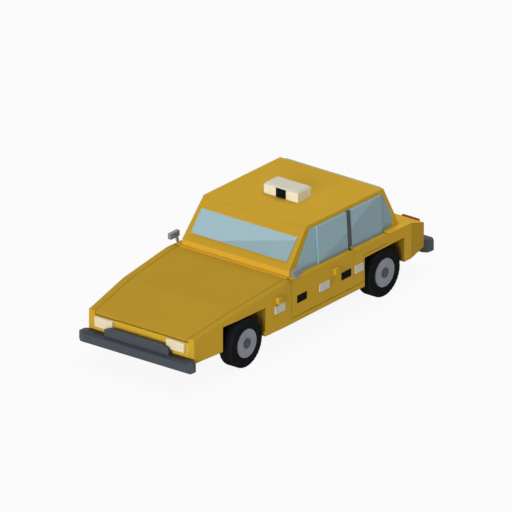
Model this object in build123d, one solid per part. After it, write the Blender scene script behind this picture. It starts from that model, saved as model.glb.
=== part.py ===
from build123d import *
from math import atan2, degrees
import os

# Taxi cab: a four door saloon with slab sides, a wedge nose and a roof sign.
# Millimetres. +Z is up, +X is the car's left side, and the front faces -Y.
# The origin is on the ground, midway between the two bumpers' outer faces.

# Stance
WHEELBASE = 2820
FRONT_AXLE_Y = -1400
REAR_AXLE_Y = FRONT_AXLE_Y + WHEELBASE
AXLE_Z = 325

# Lower body: half widths and heights at its stations
NOSE_Y = -2352
TAIL_Y = 2349
NOSE_HALF_WIDTH = 831
FENDER_CREASE_Y = -1560
FENDER_CREASE_HALF_WIDTH = 902
SCUTTLE_CREASE_Y = -626
BODY_HALF_WIDTH = 940
TAIL_CREASE_Y = 1945
NOSE_TOP = 655
FENDER_CREASE_TOP = 790
SCUTTLE_CREASE_TOP = 876
TAIL_CREASE_TOP = 825
TAIL_TOP = 666
OVERHANG_BOTTOM = 340
SILL_BOTTOM = 285
SILL_TOP = 350
SIDE_WALL = 95
PANEL = 45
PANEL_GAP = 8

# Wheel arches
ARCH_AHEAD = 425
ARCH_BEHIND = 385
ARCH_TOP = 675
LINER = 20
FRONT_LINER_X = 520
REAR_LINER_X = 670
FRONT_LINER_BOTTOM = 430
REAR_LINER_BOTTOM = 400

# Cabin above the belt line
CABIN_HALF_WIDTH = 845
ROOF_HALF_WIDTH = 813
CABIN_FRONT_Y = -426
CABIN_SILL_Z = 945
ROOF_FRONT_Y = -29
ROOF_FRONT_Z = 1419
ROOF_REAR_Y = 1540
ROOF_REAR_Z = 1398
CABIN_REAR_Y = 1815
CABIN_REAR_Z = 826
SIDE_FRAME = 55
CABIN_BASE_Z = 700
CABIN_CUT_TOP = 1500
CUT_REACH = 300
SCREEN_FRAME_DEPTH = 58
REAR_FRAME_DEPTH = 54
SHELF_START_Y = 1600

# Doors
DOOR_FRONT_Y = -500
DOOR_SPLIT_Y = 776
REAR_DOOR_END_Y = 1489
REAR_DOOR_ARCH_Y = 964
REAR_DOOR_ARCH_Z = 720
DOOR_BOTTOM = 360
DOOR_THICKNESS = 90
DOOR_SKIN = 25
DOOR_STEP = 25
POST_HALF = 48
POST_COVER_HALF = 30
POST_COVER = 36
PANE_TO_SPLIT = 40
CANT_RAIL_Z = 1357
GLASS_GAP = 5.5
GLASS_THICKNESS = 10
PROUD_GLASS = 18
GLASS_SLOT = 20

# Hinges: pins in bores near the door's outer front corner and the lids' ends
HINGE_PIN = 4
HINGE_INSET = 7
HINGE_ARM = (700, 712)
HINGE_ARM_HALF = 3
PIN_REACH = 20
HINGE_GAP = 0.5
LID_HINGE_IN = 8
LID_HINGE_DOWN = 10
LID_HINGE_HALF = 6
RISER_DEPTH = 10
HOOD_HINGE_X = 606
BOOT_HINGE_X = 312
BOOT_HINGE_FOOT = (768, 782)
BOOT_HINGE_RISER = (768, 800)

# Windscreen and rear window, as slabs on the frames' outer faces
SCREEN_THICKNESS = 15
SCREEN_LAP = 15
FRONT_PILLAR = 57
REAR_PILLAR = 68
WINDSCREEN = dict(half_width=ROOF_HALF_WIDTH - FRONT_PILLAR, bottom=1035, top=1290)
REAR_WINDOW = dict(half_width=ROOF_HALF_WIDTH - REAR_PILLAR, bottom=945, top=1392)

# Lids
HOOD_REAR_Y = -510
LID_FRONT_Y = 1840
LID_HALF_WIDTH = 455
LID_THICKNESS = 38
DECK_START_Y = LID_FRONT_Y - 10

# Bumpers, sign, lamps, mirrors and handles
FRONT_BUMPER_Y = -2515
REAR_BUMPER_Y = 2515
BUMPER_HALF_WIDTH = 905
BUMPER_BOTTOM = 250
BUMPER_TOP = 405
REAR_BUMPER_TOP = 430
BUMPER_END_CUT = (100, 60)
BUMPER_EDGE_CUT = (40, 22)
GRILLE_HALF_WIDTH = 506
GRILLE_TOP = 535
GRILLE_THICKNESS = 25
GRILLE_SETBACK = 55
GRILLE_CORNER = (90, 34)
SIGN_HALF_WIDTH = 270
SIGN_FRONT_Y = 500
SIGN_REAR_Y = 770
SIGN_TOP = 1560
SIGN_CHAMFER = 26
HEADLAMP = dict(inner=425, outer=705, bottom=472, top=600, depth=55)
TAIL_LAMP = dict(inner=470, outer=734, bottom=530, top=675, depth=45)
MIRROR = dict(x=972, width=50, front=-522, length=178, bottom=938, height=76)
MIRROR_FOOT = 30
MIRROR_FOOT_LOW = 800
HANDLE = dict(y=347, length=75, bottom=665, height=85, reach=55)
REPEATER_Y = -810

# Floor
FLOOR_CLEARANCE = 30
FLOOR_HALF_WIDTH = CABIN_HALF_WIDTH - SIDE_FRAME - FLOOR_CLEARANCE
FLOOR_BOTTOM = 330
FLOOR_THICKNESS = 40
FIREWALL_Y = -560
FLOOR_STEP_Y = 1000
REAR_FLOOR_BOTTOM = 480
TAIL_PANEL = 60
JACK_SOCKET = dict(x=850, half=25, depth=40, radius=11)
JACK_SOCKET_Y = (-850, 850)

# Inside
SEAT_DEPTH = 480
SEAT_BACK = 130
SEAT_LEAN = 110
FRONT_SEAT = dict(inner=150, outer=650, front=110, cushion=600, top=1130)
REAR_SEAT = dict(outer=640, front=1000, cushion=660, top=1080)
DASH_BOTTOM = 640
DASH_TOP = SCUTTLE_CREASE_TOP - PANEL - 10
DASH_REAR = [(-370, DASH_TOP), (-350, 870), (-250, 860), (-190, 760), (-230, DASH_BOTTOM)]
STEERING_HUB = (400, -20, 850)
STEERING_FOOT = (400, -230, 740)
STEERING_WHEEL = dict(radius=180, grip=14, spoke=40, boss=30, column=22)

# Engine, gearbox, exhaust and tank
ENGINE = dict(half=230, front=-1700, rear=-1050, top=690)
GEARBOX = dict(half=120, rear=-580, bottom=245, top=430)
EXHAUST = dict(x=-200, y=-1150, z=250, radius=22, stub=28)
SILENCER = dict(outer=-310, inner=-130, front=1700, rear=2150, bottom=225, top=330)
HANGER = dict(outer=-260, inner=-240, front=1900, thickness=30)
TANK = dict(outer=-90, inner=500, front=1720, rear=2180, bottom=335, chamfer=25)

# Running gear
TYRE_RADIUS = 325
TYRE_WIDTH = 205
TYRE_OUTER_X = 930
TYRE_SHOULDER = 22
RIM_RADIUS = 190
RIM_THICKNESS = 18
RIM_DISC = 16
RIM_SETBACK = 18
HUB_RADIUS = 65
SPINDLE_RADIUS = 24
RUNNING_CLEARANCE = 0.1
KINGPIN_X = 760
KINGPIN_RADIUS = 12
KNUCKLE_HALF = 25
KNUCKLE_HALF_HEIGHT = 54
YOKE_GAP = 0.5
YOKE_PLATE = 25
YOKE_HALF = 30
AXLE_BEAM_BOTTOM = 225
AXLE_BEAM_TOP = 285
AXLE_BEAM_END = 700
YOKE_WEB = (690, 715)
RAIL_INNER = 430
RAIL_WIDTH = 70
RAIL_HEIGHT = 70
REAR_AXLE_RADIUS = 40
TUBE_END_X = 720
DIFF_RADIUS = 105
DIFF_HALF = 70
SPRING_X = 560
SPRING_RADIUS = 48
SHAFT_RADIUS = 30
SHAFT_Z = 290

FAR = 3000
LAP = 2


def slab(x, y, z):
    """A box between two X, two Y and two Z values."""
    size = (x[1] - x[0], y[1] - y[0], z[1] - z[0])
    middle = ((x[0] + x[1]) / 2, (y[0] + y[1]) / 2, (z[0] + z[1]) / 2)
    return Pos(*middle) * Box(*size)


def side_prism(points, x_low, x_high):
    """An outline in Y and Z carried along X."""
    face = Plane.YZ.offset(x_low) * Polygon(*points, align=None)
    return extrude(face, x_high - x_low, dir=(1, 0, 0))


def plan_prism(points, z_low, z_high):
    """An outline in X and Y carried along Z."""
    face = Plane.XY.offset(z_low) * Polygon(*points, align=None)
    return extrude(face, z_high - z_low, dir=(0, 0, 1))


def end_prism(points, y_low, y_high):
    """An outline in X and Z carried along Y."""
    face = Plane.XZ.offset(-y_low) * Polygon(*points, align=None)
    return extrude(face, y_high - y_low, dir=(0, 1, 0))


def rod(start, end, radius):
    """A round bar between two points."""
    along = Vector(*end) - Vector(*start)
    return extrude(Plane(origin=start, z_dir=along) * Circle(radius), along.length)


def other_side(part):
    """The same piece on the car's right."""
    return mirror(part, Plane.YZ)


def both_sides(part):
    """A piece and its twin across the centre plane, as two solids."""
    return Compound(children=[one for half in (part, other_side(part)) for one in half.solids()])


def on_line(y, start, end):
    """Height at y on the line through two (y, z) points."""
    return start[1] + (y - start[0]) * (end[1] - start[1]) / (end[0] - start[0])


# The body's top line from nose to tail, and its plan
TOP_LINE = [
    (NOSE_Y, NOSE_TOP),
    (FENDER_CREASE_Y, FENDER_CREASE_TOP),
    (SCUTTLE_CREASE_Y, SCUTTLE_CREASE_TOP),
    (TAIL_CREASE_Y, TAIL_CREASE_TOP),
    (TAIL_Y, TAIL_TOP),
]
PLAN_LINE = [
    (NOSE_Y, NOSE_HALF_WIDTH),
    (FENDER_CREASE_Y, FENDER_CREASE_HALF_WIDTH),
    (SCUTTLE_CREASE_Y, BODY_HALF_WIDTH),
    (TAIL_CREASE_Y, BODY_HALF_WIDTH),
    (TAIL_Y, NOSE_HALF_WIDTH),
]


def top_z(y):
    """Height of the body's top at a station."""
    for start, end in zip(TOP_LINE, TOP_LINE[1:]):
        if y <= end[0]:
            return on_line(y, start, end)
    return TAIL_TOP


def half_width(y):
    """Half width of the body at a station."""
    for start, end in zip(PLAN_LINE, PLAN_LINE[1:]):
        if y <= end[0]:
            return on_line(y, start, end)
    return NOSE_HALF_WIDTH


def stations(y_low, y_high):
    """The two ends of a run and the creases between them."""
    return [y_low] + [y for y, _ in TOP_LINE if y_low < y < y_high] + [y_high]


def top_skin(y_low, y_high, depth=PANEL):
    """A full width layer just under the body's top."""
    run = stations(y_low, y_high)
    upper = [(y, top_z(y)) for y in run]
    lower = [(y, z - depth) for y, z in reversed(upper)]
    return side_prism(upper + lower, -FAR, FAR)


def under_top(y_low, y_high, z_low, drop=0):
    """Everything between a height and the body's top, or a drop below it."""
    run = stations(y_low, y_high)
    upper = [(y, top_z(y) - drop) for y in run]
    return side_prism(upper + [(y_high, z_low), (y_low, z_low)], -FAR, FAR)


def plan_band(y_low, y_high, inset, half=False):
    """The body's plan, drawn in by an inset: both halves, or the left one."""
    run = stations(y_low, y_high)
    left = [(half_width(y) - inset, y) for y in run]
    right = [(0 if half else -x, y) for x, y in reversed(left)]
    return plan_prism(left + right, 0, FAR)


def left_wall(y_low, y_high, z_low, drop=0):
    """The left side wall of the body over a run."""
    band = plan_band(y_low, y_high, 0, half=True) - plan_band(y_low, y_high, SIDE_WALL, half=True)
    return band & under_top(y_low, y_high, z_low, drop)


# The cabin above the belt
CABIN_PROFILE = [
    (CABIN_FRONT_Y, CABIN_BASE_Z),
    (CABIN_FRONT_Y, CABIN_SILL_Z),
    (ROOF_FRONT_Y, ROOF_FRONT_Z),
    (ROOF_REAR_Y, ROOF_REAR_Z),
    (CABIN_REAR_Y, CABIN_REAR_Z),
    (CABIN_REAR_Y, CABIN_BASE_Z),
]
SIDE_LEAN = (CABIN_HALF_WIDTH - ROOF_HALF_WIDTH) / (ROOF_FRONT_Z - CABIN_SILL_Z)


def side_x(z, outward=0):
    """X of the cabin's leaning side at a height, moved outward."""
    return CABIN_HALF_WIDTH + outward - max(0, z - CABIN_SILL_Z) * SIDE_LEAN


def side_layer(inner, outer, z_low=CABIN_BASE_Z, z_high=CABIN_CUT_TOP):
    """A layer that follows the cabin's left side between two offsets from it."""
    heights = [z_low, max(z_low, CABIN_SILL_Z), z_high] if z_low < CABIN_SILL_Z else [z_low, z_high]
    face = [(side_x(z, outer), z) for z in heights] + [(side_x(z, inner), z) for z in reversed(heights)]
    return end_prism(face, -FAR, FAR)


def cabin_solid():
    """The cabin's outer form, standing on the body's top."""
    profile = side_prism(CABIN_PROFILE, -FAR, FAR)
    left = [(side_x(z), z) for z in (CABIN_BASE_Z, CABIN_SILL_Z, CABIN_CUT_TOP)]
    section = end_prism(left + [(-x, z) for x, z in reversed(left)], -FAR, FAR)
    return (profile & section) - under_top(NOSE_Y, TAIL_Y, 0)


def front_line_y(z):
    """Y of the windscreen's plane at a height."""
    low, high = (CABIN_SILL_Z, CABIN_FRONT_Y), (ROOF_FRONT_Z, ROOF_FRONT_Y)
    return on_line(z, low, high)


def rear_line_y(z):
    """Y of the rear window's plane at a height."""
    return on_line(z, (CABIN_REAR_Z, CABIN_REAR_Y), (ROOF_REAR_Z, ROOF_REAR_Y))


def front_band(z_low, z_high, outward, inward):
    """A layer along the windscreen's plane, from outward of it to inward."""
    outer = [(front_line_y(z) - outward, z) for z in (z_low, z_high)]
    inner = [(front_line_y(z) + inward, z) for z in (z_high, z_low)]
    return side_prism(outer + inner, -FAR, FAR)


def rear_band(z_low, z_high, outward, inward):
    """A layer along the rear window's plane, from outward of it to inward."""
    outer = [(rear_line_y(z) + outward, z) for z in (z_low, z_high)]
    inner = [(rear_line_y(z) - inward, z) for z in (z_high, z_low)]
    return side_prism(outer + inner, -FAR, FAR)


def across(half_width_mm):
    """Everything within a half width of the centre plane."""
    return slab((-half_width_mm, half_width_mm), (-FAR, FAR), (-FAR, FAR))


def roof_zone():
    """The layer that the roof panel takes from the cabin."""
    ends = (ROOF_FRONT_Y, ROOF_FRONT_Z - PANEL), (ROOF_REAR_Y, ROOF_REAR_Z - PANEL)
    under = [(y, on_line(y, *ends)) for y in (-FAR, FAR)]
    return side_prism(under + [(FAR, FAR), (-FAR, FAR)], -FAR, FAR)


# Door outlines in Y and Z, at the outer skin
def front_door_outline(step=0):
    """The front door, drawn in by a step."""
    front, rear = DOOR_FRONT_Y + PANEL_GAP / 2 + step, DOOR_SPLIT_Y - PANEL_GAP / 2 - step
    return [(front, DOOR_BOTTOM + step), (rear, DOOR_BOTTOM + step), (rear, FAR), (front, FAR)]


def rear_door_outline(step=0):
    """The rear door, stepped over the wheel arch and drawn in by a step."""
    front = DOOR_SPLIT_Y + PANEL_GAP / 2 + step
    arch = REAR_DOOR_ARCH_Y - step
    rear = REAR_DOOR_END_Y - PANEL_GAP / 2 - step
    low, high = DOOR_BOTTOM + step, REAR_DOOR_ARCH_Z + step
    return [(front, low), (arch, low), (arch, high), (rear, high), (rear, FAR), (front, FAR)]


# Side window outlines in Y and Z
FRONT_GLASS = [(-310, CABIN_BASE_Z), (-310, 935), (25, 1369), (DOOR_SPLIT_Y - PANE_TO_SPLIT, 1361),
               (DOOR_SPLIT_Y - PANE_TO_SPLIT, CABIN_BASE_Z)]
FRONT_PROUD_Y = 130
REAR_GLASS = [(DOOR_SPLIT_Y + PANE_TO_SPLIT, CABIN_BASE_Z), (DOOR_SPLIT_Y + PANE_TO_SPLIT, 1361), (1484, 1348),
              (1484, CABIN_BASE_Z)]
REAR_PROUD_END_Y = 1430
QUARTER_GLASS = [(1505, 846), (1505, 1320), (1514, 1318), (1673, 1000), (1673, 846)]
FRONT_OPENING = [
    (-440, DOOR_BOTTOM), (-440, 850), (-298, 935), (30, CANT_RAIL_Z),
    (DOOR_SPLIT_Y - POST_HALF, CANT_RAIL_Z), (DOOR_SPLIT_Y - POST_HALF, DOOR_BOTTOM)]
REAR_OPENING = [
    (DOOR_SPLIT_Y + POST_HALF, DOOR_BOTTOM), (DOOR_SPLIT_Y + POST_HALF, CANT_RAIL_Z), (1475, 1340),
    (1475, REAR_DOOR_ARCH_Z), (940, REAR_DOOR_ARCH_Z), (940, DOOR_BOTTOM)]


def arch_box(axle_y, x_low, x_high, z_low=0, margin=0):
    """The space of a left wheel arch, grown by a margin fore, aft and up."""
    return slab(
        (x_low, x_high),
        (axle_y - ARCH_AHEAD - margin, axle_y + ARCH_BEHIND + margin),
        (z_low, ARCH_TOP + margin))


def arch_liner(axle_y, inner_x, bottom):
    """The box round a left wheel: inner wall, roof, front and rear walls."""
    outer_x = half_width(axle_y) - SIDE_WALL
    shell = arch_box(axle_y, inner_x, outer_x, SILL_TOP, margin=LINER)
    shell -= arch_box(axle_y, inner_x + LINER, outer_x + 1)
    below = slab((inner_x, inner_x + LINER), (axle_y - ARCH_AHEAD, axle_y + ARCH_BEHIND), (0, bottom))
    return shell - below


def fender():
    """Left front fender: side wall with its arch, and the liner behind it."""
    rear = DOOR_FRONT_Y - PANEL_GAP / 2
    wall = left_wall(NOSE_Y, rear, OVERHANG_BOTTOM)
    wall -= slab((0, FAR), (FRONT_AXLE_Y + ARCH_BEHIND - 1, rear + 1), (0, SILL_TOP))
    wall -= arch_box(FRONT_AXLE_Y, 0, FAR)
    liner = arch_liner(FRONT_AXLE_Y, FRONT_LINER_X, FRONT_LINER_BOTTOM)
    joined = wall + liner
    reach = HANDLE["reach"]
    side = half_width(REPEATER_Y)
    lamp = slab((side - LAP, side + reach), (REPEATER_Y, REPEATER_Y + HANDLE["length"]),
                (HANDLE["bottom"], HANDLE["bottom"] + HANDLE["height"]))
    return joined + lamp


def quarter():
    """Left rear quarter: side wall, arch liner, boot side and deck."""
    front = REAR_DOOR_ARCH_Y + PANEL_GAP / 2
    wall = left_wall(front, TAIL_Y, OVERHANG_BOTTOM)
    wall -= slab((0, FAR), (front - 1, REAR_AXLE_Y - ARCH_AHEAD), (0, SILL_TOP))
    gap = PANEL_GAP
    door = rear_door_outline()
    grown = [(y + gap if y > DOOR_SPLIT_Y + 100 else y - gap, z - gap if z < FAR else z) for y, z in door]
    wall -= side_prism(grown, 0, FAR)
    wall -= arch_box(REAR_AXLE_Y, 0, FAR)
    liner = arch_liner(REAR_AXLE_Y, REAR_LINER_X, REAR_LINER_BOTTOM)
    tail = TAIL_Y - TAIL_PANEL
    boot_side = slab((REAR_LINER_X, REAR_LINER_X + LINER), (REAR_AXLE_Y + ARCH_BEHIND, tail), (SILL_TOP, FAR))
    boot_side &= under_top(NOSE_Y, TAIL_Y, 0, PANEL)
    deck = top_skin(DECK_START_Y, TAIL_Y) & plan_band(NOSE_Y, TAIL_Y, SIDE_WALL, half=True)
    deck -= across(LID_HALF_WIDTH + PANEL_GAP)
    return wall + liner + boot_side + deck


def door_hinge_place(front_y):
    """Plan position of a left door's hinge line, from its skin's front edge."""
    return BODY_HALF_WIDTH - HINGE_INSET, front_y + HINGE_INSET


def rocker_pin(front_y):
    """The lower hinge: a pin that stands up from the rocker into the door."""
    x, y = door_hinge_place(front_y)
    return rod((x, y, SILL_TOP - LAP), (x, y, DOOR_BOTTOM + PIN_REACH), HINGE_PIN)


def post_arm(front_y):
    """The upper hinge: an arm from the post with a pin through its end."""
    x, y = door_hinge_place(front_y)
    low, high = HINGE_ARM
    arm = slab((CABIN_HALF_WIDTH - LAP, x + LAP), (y - HINGE_ARM_HALF, y + HINGE_ARM_HALF), (low, high))
    return arm + rod((x, y, low - PIN_REACH), (x, y, high + PIN_REACH), HINGE_PIN)


def door_hinge_space(front_y):
    """What the two hinges take from a left door: bores and a notch."""
    x, y = door_hinge_place(front_y)
    low, high = HINGE_ARM
    radius = HINGE_PIN + RUNNING_CLEARANCE
    edge = HINGE_PIN + HINGE_GAP
    lower = rod((x, y, 0), (x, y, DOOR_BOTTOM + PIN_REACH + HINGE_GAP), radius)
    upper = rod((x, y, low - PIN_REACH - HINGE_GAP), (x, y, high + PIN_REACH + HINGE_GAP), radius)
    notch = slab((0, x + edge), (front_y - 1, y + edge), (low - HINGE_GAP, high + HINGE_GAP))
    return lower + upper + notch


def lid_hinge_line(end_y, inward):
    """Y and Z of a lid's hinge line, just inside its end."""
    y = end_y + inward * LID_HINGE_IN
    return y, top_z(y) - LID_HINGE_DOWN


def lid_pins(x_middle, end_y, inward, base_y, base_z, riser_z):
    """Two lid hinges: each an arm on a base, with a pin across its end."""
    y, z = lid_hinge_line(end_y, inward)
    half = LID_HINGE_HALF
    across_x = (x_middle - half, x_middle + half)
    far_y = y - inward * HINGE_ARM_HALF
    near_y = y + inward * HINGE_ARM_HALF
    foot = slab(across_x, sorted((base_y, near_y)), base_z)
    riser = slab(across_x, sorted((base_y, base_y + inward * RISER_DEPTH)), riser_z)
    arm = slab(across_x, sorted((far_y, near_y)), (base_z[0], z + LAP))
    pin = rod((x_middle - half - PIN_REACH, y, z), (x_middle + half + PIN_REACH, y, z), HINGE_PIN)
    side = foot + riser + arm + pin
    return side + other_side(side)


def lid_hinge_space(x_middle, end_y, inward):
    """What the hinges take from a lid: a bore and a notch open at its end."""
    y, z = lid_hinge_line(end_y, inward)
    half = LID_HINGE_HALF + HINGE_GAP * 2
    reach = LID_HINGE_HALF + PIN_REACH + HINGE_GAP
    edge = HINGE_PIN + HINGE_GAP
    bore = rod((x_middle - reach, y, z), (x_middle + reach, y, z), HINGE_PIN + RUNNING_CLEARANCE)
    notch = slab((x_middle - half, x_middle + half), sorted((end_y - inward, y + inward * edge)), (0, z + edge))
    side = bore + notch
    return side + other_side(side)


def door(outline, handle=False):
    """A left door: outer skin at full size and a stepped inner part."""
    outer = BODY_HALF_WIDTH
    inner = outer - DOOR_THICKNESS
    skin = side_prism(outline(), outer - DOOR_SKIN, outer)
    core = side_prism(outline(DOOR_STEP), inner, outer - DOOR_SKIN)
    panel = (skin + core) & under_top(NOSE_Y, TAIL_Y, 0)
    if handle:
        panel += slab((outer - LAP, outer + HANDLE["reach"]), (HANDLE["y"], HANDLE["y"] + HANDLE["length"]),
                      (HANDLE["bottom"], HANDLE["bottom"] + HANDLE["height"]))
    return panel - door_hinge_space(outline()[0][0])


def door_glass(outline, proud_y):
    """A left door's pane, with its sliding part standing proud of the rest."""
    belt = under_top(NOSE_Y, TAIL_Y, 0, GLASS_SLOT)
    base = side_prism(outline, 0, FAR) & side_layer(GLASS_GAP, GLASS_GAP + GLASS_THICKNESS)
    outer = GLASS_GAP + GLASS_THICKNESS
    proud = side_prism(outline, 0, FAR) & side_layer(outer, outer + PROUD_GLASS)
    proud &= slab((0, FAR), proud_y, (0, FAR))
    proud -= under_top(NOSE_Y, TAIL_Y, 0)
    return (base - belt) + proud


def mirror_piece():
    """The left mirror: a plain block on a short foot on the door's top."""
    side = (MIRROR["x"] - MIRROR["width"] / 2, MIRROR["x"] + MIRROR["width"] / 2)
    along = (MIRROR["front"], MIRROR["front"] + MIRROR["length"])
    head = slab(side, along, (MIRROR["bottom"], MIRROR["bottom"] + MIRROR["height"]))
    foot_y = (along[1] - 2 * MIRROR_FOOT, along[1] - MIRROR_FOOT)
    low = BODY_HALF_WIDTH - MIRROR_FOOT
    foot_top = MIRROR["bottom"] + LAP
    foot = end_prism([(low, MIRROR_FOOT_LOW), (low + MIRROR_FOOT - LAP, MIRROR_FOOT_LOW),
                      (side[0] + MIRROR_FOOT, foot_top), (side[0], foot_top)], *foot_y)
    return head + (foot - under_top(NOSE_Y, TAIL_Y, 0))


def side_frame():
    """Left body side inside the doors: posts, cant rail and rear pillar."""
    arch_front = REAR_AXLE_Y - ARCH_AHEAD - LINER
    outline = [
        (DOOR_FRONT_Y, SILL_TOP), (arch_front, SILL_TOP), (arch_front, ARCH_TOP + LINER),
        (CABIN_REAR_Y, ARCH_TOP + LINER), (CABIN_REAR_Y, CABIN_REAR_Z), (ROOF_REAR_Y, ROOF_REAR_Z),
        (ROOF_FRONT_Y, ROOF_FRONT_Z), (CABIN_FRONT_Y, CABIN_SILL_Z),
        (CABIN_FRONT_Y, SCUTTLE_CREASE_TOP - PANEL), (DOOR_FRONT_Y, SCUTTLE_CREASE_TOP - PANEL - 4)]
    frame = side_prism(outline, 0, FAR) & side_layer(-SIDE_FRAME, 0, z_low=0)
    for opening in (FRONT_OPENING, REAR_OPENING, QUARTER_GLASS):
        frame -= side_prism(opening, 0, FAR)
    cover = slab((0, FAR), (DOOR_SPLIT_Y - POST_COVER_HALF, DOOR_SPLIT_Y + POST_COVER_HALF), (890, CANT_RAIL_Z))
    cover &= side_layer(-1, POST_COVER)
    frame += cover
    for outline in (front_door_outline(), rear_door_outline()):
        frame += post_arm(outline[0][0])
    screen = screen_zone() - under_top(NOSE_Y, TAIL_Y, 0)
    return frame - roof_zone() - screen - scuttle_skin() - rear_zone()


def screen_zone():
    """The layer that the windscreen frame takes from the cabin."""
    depth = SCREEN_FRAME_DEPTH
    low, high = CABIN_BASE_Z, CABIN_CUT_TOP
    outline = [
        (-FAR, low), (CABIN_FRONT_Y + depth, low), (CABIN_FRONT_Y + depth, CABIN_SILL_Z),
        (front_line_y(high) + depth, high), (-FAR, high)]
    return side_prism(outline, -FAR, FAR)


def rear_zone():
    """The layer that the rear window frame takes from the cabin."""
    return rear_band(CABIN_REAR_Z - 5, CABIN_CUT_TOP, CUT_REACH, REAR_FRAME_DEPTH)


def roof_panel():
    """The roof skin, edge to edge."""
    return cabin_solid() & roof_zone()


def scuttle_skin():
    """The body's top layer between hood and windscreen."""
    return top_skin(DOOR_FRONT_Y, CABIN_FRONT_Y + PANEL)


def screen_frame():
    """Windscreen frame with its header and pillars, and the scuttle below it."""
    frame = (cabin_solid() & screen_zone()) - roof_zone()
    opening = front_band(WINDSCREEN["bottom"] + SCREEN_LAP, WINDSCREEN["top"] - SCREEN_LAP, CUT_REACH, CUT_REACH)
    frame -= opening & across(WINDSCREEN["half_width"] - SCREEN_LAP)
    return frame + (scuttle_skin() & across(CABIN_HALF_WIDTH))


def rear_frame():
    """Rear window frame, the deck strip behind it and the shelf inside it."""
    frame = (cabin_solid() & rear_zone()) - roof_zone()
    opening = rear_band(REAR_WINDOW["bottom"] + SCREEN_LAP, ROOF_REAR_Z - PANEL - SCREEN_LAP, CUT_REACH, CUT_REACH)
    frame -= opening & across(REAR_WINDOW["half_width"] - SCREEN_LAP)
    shelf = top_skin(SHELF_START_Y, CABIN_REAR_Y) & across(CABIN_HALF_WIDTH - SIDE_FRAME)
    strip = top_skin(CABIN_REAR_Y, DECK_START_Y) & across(CABIN_HALF_WIDTH)
    pins = lid_pins(BOOT_HINGE_X, LID_FRONT_Y, 1, CABIN_REAR_Y + LAP, BOOT_HINGE_FOOT, BOOT_HINGE_RISER)
    return frame + shelf + strip + pins


def windscreen():
    """The windscreen, bonded on the outside of its frame."""
    glass = front_band(WINDSCREEN["bottom"], WINDSCREEN["top"], SCREEN_THICKNESS, 0)
    return glass & across(WINDSCREEN["half_width"])


def rear_window():
    """The rear window, bonded on the outside of its frame."""
    glass = rear_band(REAR_WINDOW["bottom"], REAR_WINDOW["top"], SCREEN_THICKNESS * 2, 0)
    return glass & across(REAR_WINDOW["half_width"])


def quarter_glass():
    """The left fixed pane behind the rear door, flush in the side frame."""
    return side_prism(QUARTER_GLASS, 0, FAR) & side_layer(-GLASS_THICKNESS, 0)


def hood():
    """The lid over the engine."""
    skin = top_skin(NOSE_Y, HOOD_REAR_Y, LID_THICKNESS)
    skin &= plan_band(NOSE_Y, HOOD_REAR_Y, SIDE_WALL + PANEL_GAP)
    return skin - lid_hinge_space(HOOD_HINGE_X, HOOD_REAR_Y, -1)


def boot_lid():
    """The lid over the boot, between the tail lamps."""
    skin = top_skin(LID_FRONT_Y, TAIL_Y, LID_THICKNESS) & across(LID_HALF_WIDTH)
    return skin - lid_hinge_space(BOOT_HINGE_X, LID_FRONT_Y, 1)


def nose_panel():
    """The front face under the hood's edge, with the two front rails."""
    top = NOSE_TOP - PANEL - PANEL_GAP
    face = plan_band(NOSE_Y, NOSE_Y + TAIL_PANEL, SIDE_WALL)
    face &= slab((-FAR, FAR), (NOSE_Y, NOSE_Y + TAIL_PANEL), (OVERHANG_BOTTOM, top))
    rails = slab((RAIL_INNER, RAIL_INNER + RAIL_WIDTH), (NOSE_Y + TAIL_PANEL - 1, FIREWALL_Y),
                 (OVERHANG_BOTTOM, OVERHANG_BOTTOM + RAIL_HEIGHT))
    return face + rails + other_side(rails)


def tail_panel():
    """The rear face between the quarters, under the lid's edge."""
    top = TAIL_TOP - PANEL - PANEL_GAP
    face = plan_band(TAIL_Y - TAIL_PANEL, TAIL_Y, SIDE_WALL)
    return face & slab((-FAR, FAR), (TAIL_Y - TAIL_PANEL, TAIL_Y), (OVERHANG_BOTTOM, top))


def floor_pan():
    """Floor with its step over the rear axle, firewall and rockers."""
    low, high = FLOOR_BOTTOM, REAR_FLOOR_BOTTOM
    sheet = FLOOR_THICKNESS
    step = FLOOR_STEP_Y
    front = side_prism(
        [(FIREWALL_Y, low), (step + sheet, low), (step + sheet, high), (step + sheet, high + sheet),
         (step, high + sheet), (step, low + sheet), (FIREWALL_Y, low + sheet)],
        -REAR_LINER_X, REAR_LINER_X)
    wide = slab((-FLOOR_HALF_WIDTH - 1, FLOOR_HALF_WIDTH + 1), (FIREWALL_Y, REAR_AXLE_Y - ARCH_AHEAD - LINER),
                (low, low + sheet))
    rear = slab((-REAR_LINER_X, REAR_LINER_X), (step, TAIL_Y - TAIL_PANEL), (high, high + sheet))
    firewall_top = DASH_TOP + 5
    firewall = slab((-CABIN_HALF_WIDTH, CABIN_HALF_WIDTH), (FIREWALL_Y, FIREWALL_Y + sheet),
                    (SILL_TOP, firewall_top))
    rocker = slab((FLOOR_HALF_WIDTH, BODY_HALF_WIDTH), (FRONT_AXLE_Y + ARCH_BEHIND, REAR_AXLE_Y - ARCH_AHEAD),
                  (SILL_BOTTOM, SILL_TOP))
    side = rocker & plan_band(NOSE_Y, TAIL_Y, 0)
    for outline in (front_door_outline(), rear_door_outline()):
        side += rocker_pin(outline[0][0])
    pins = lid_pins(HOOD_HINGE_X, HOOD_REAR_Y, -1, FIREWALL_Y + sheet - PIN_REACH, (DASH_TOP + 1, DASH_TOP + 8),
                    (DASH_TOP + 1, DASH_TOP + 8))
    return front + wide + rear + firewall + pins + side + other_side(side)


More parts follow.
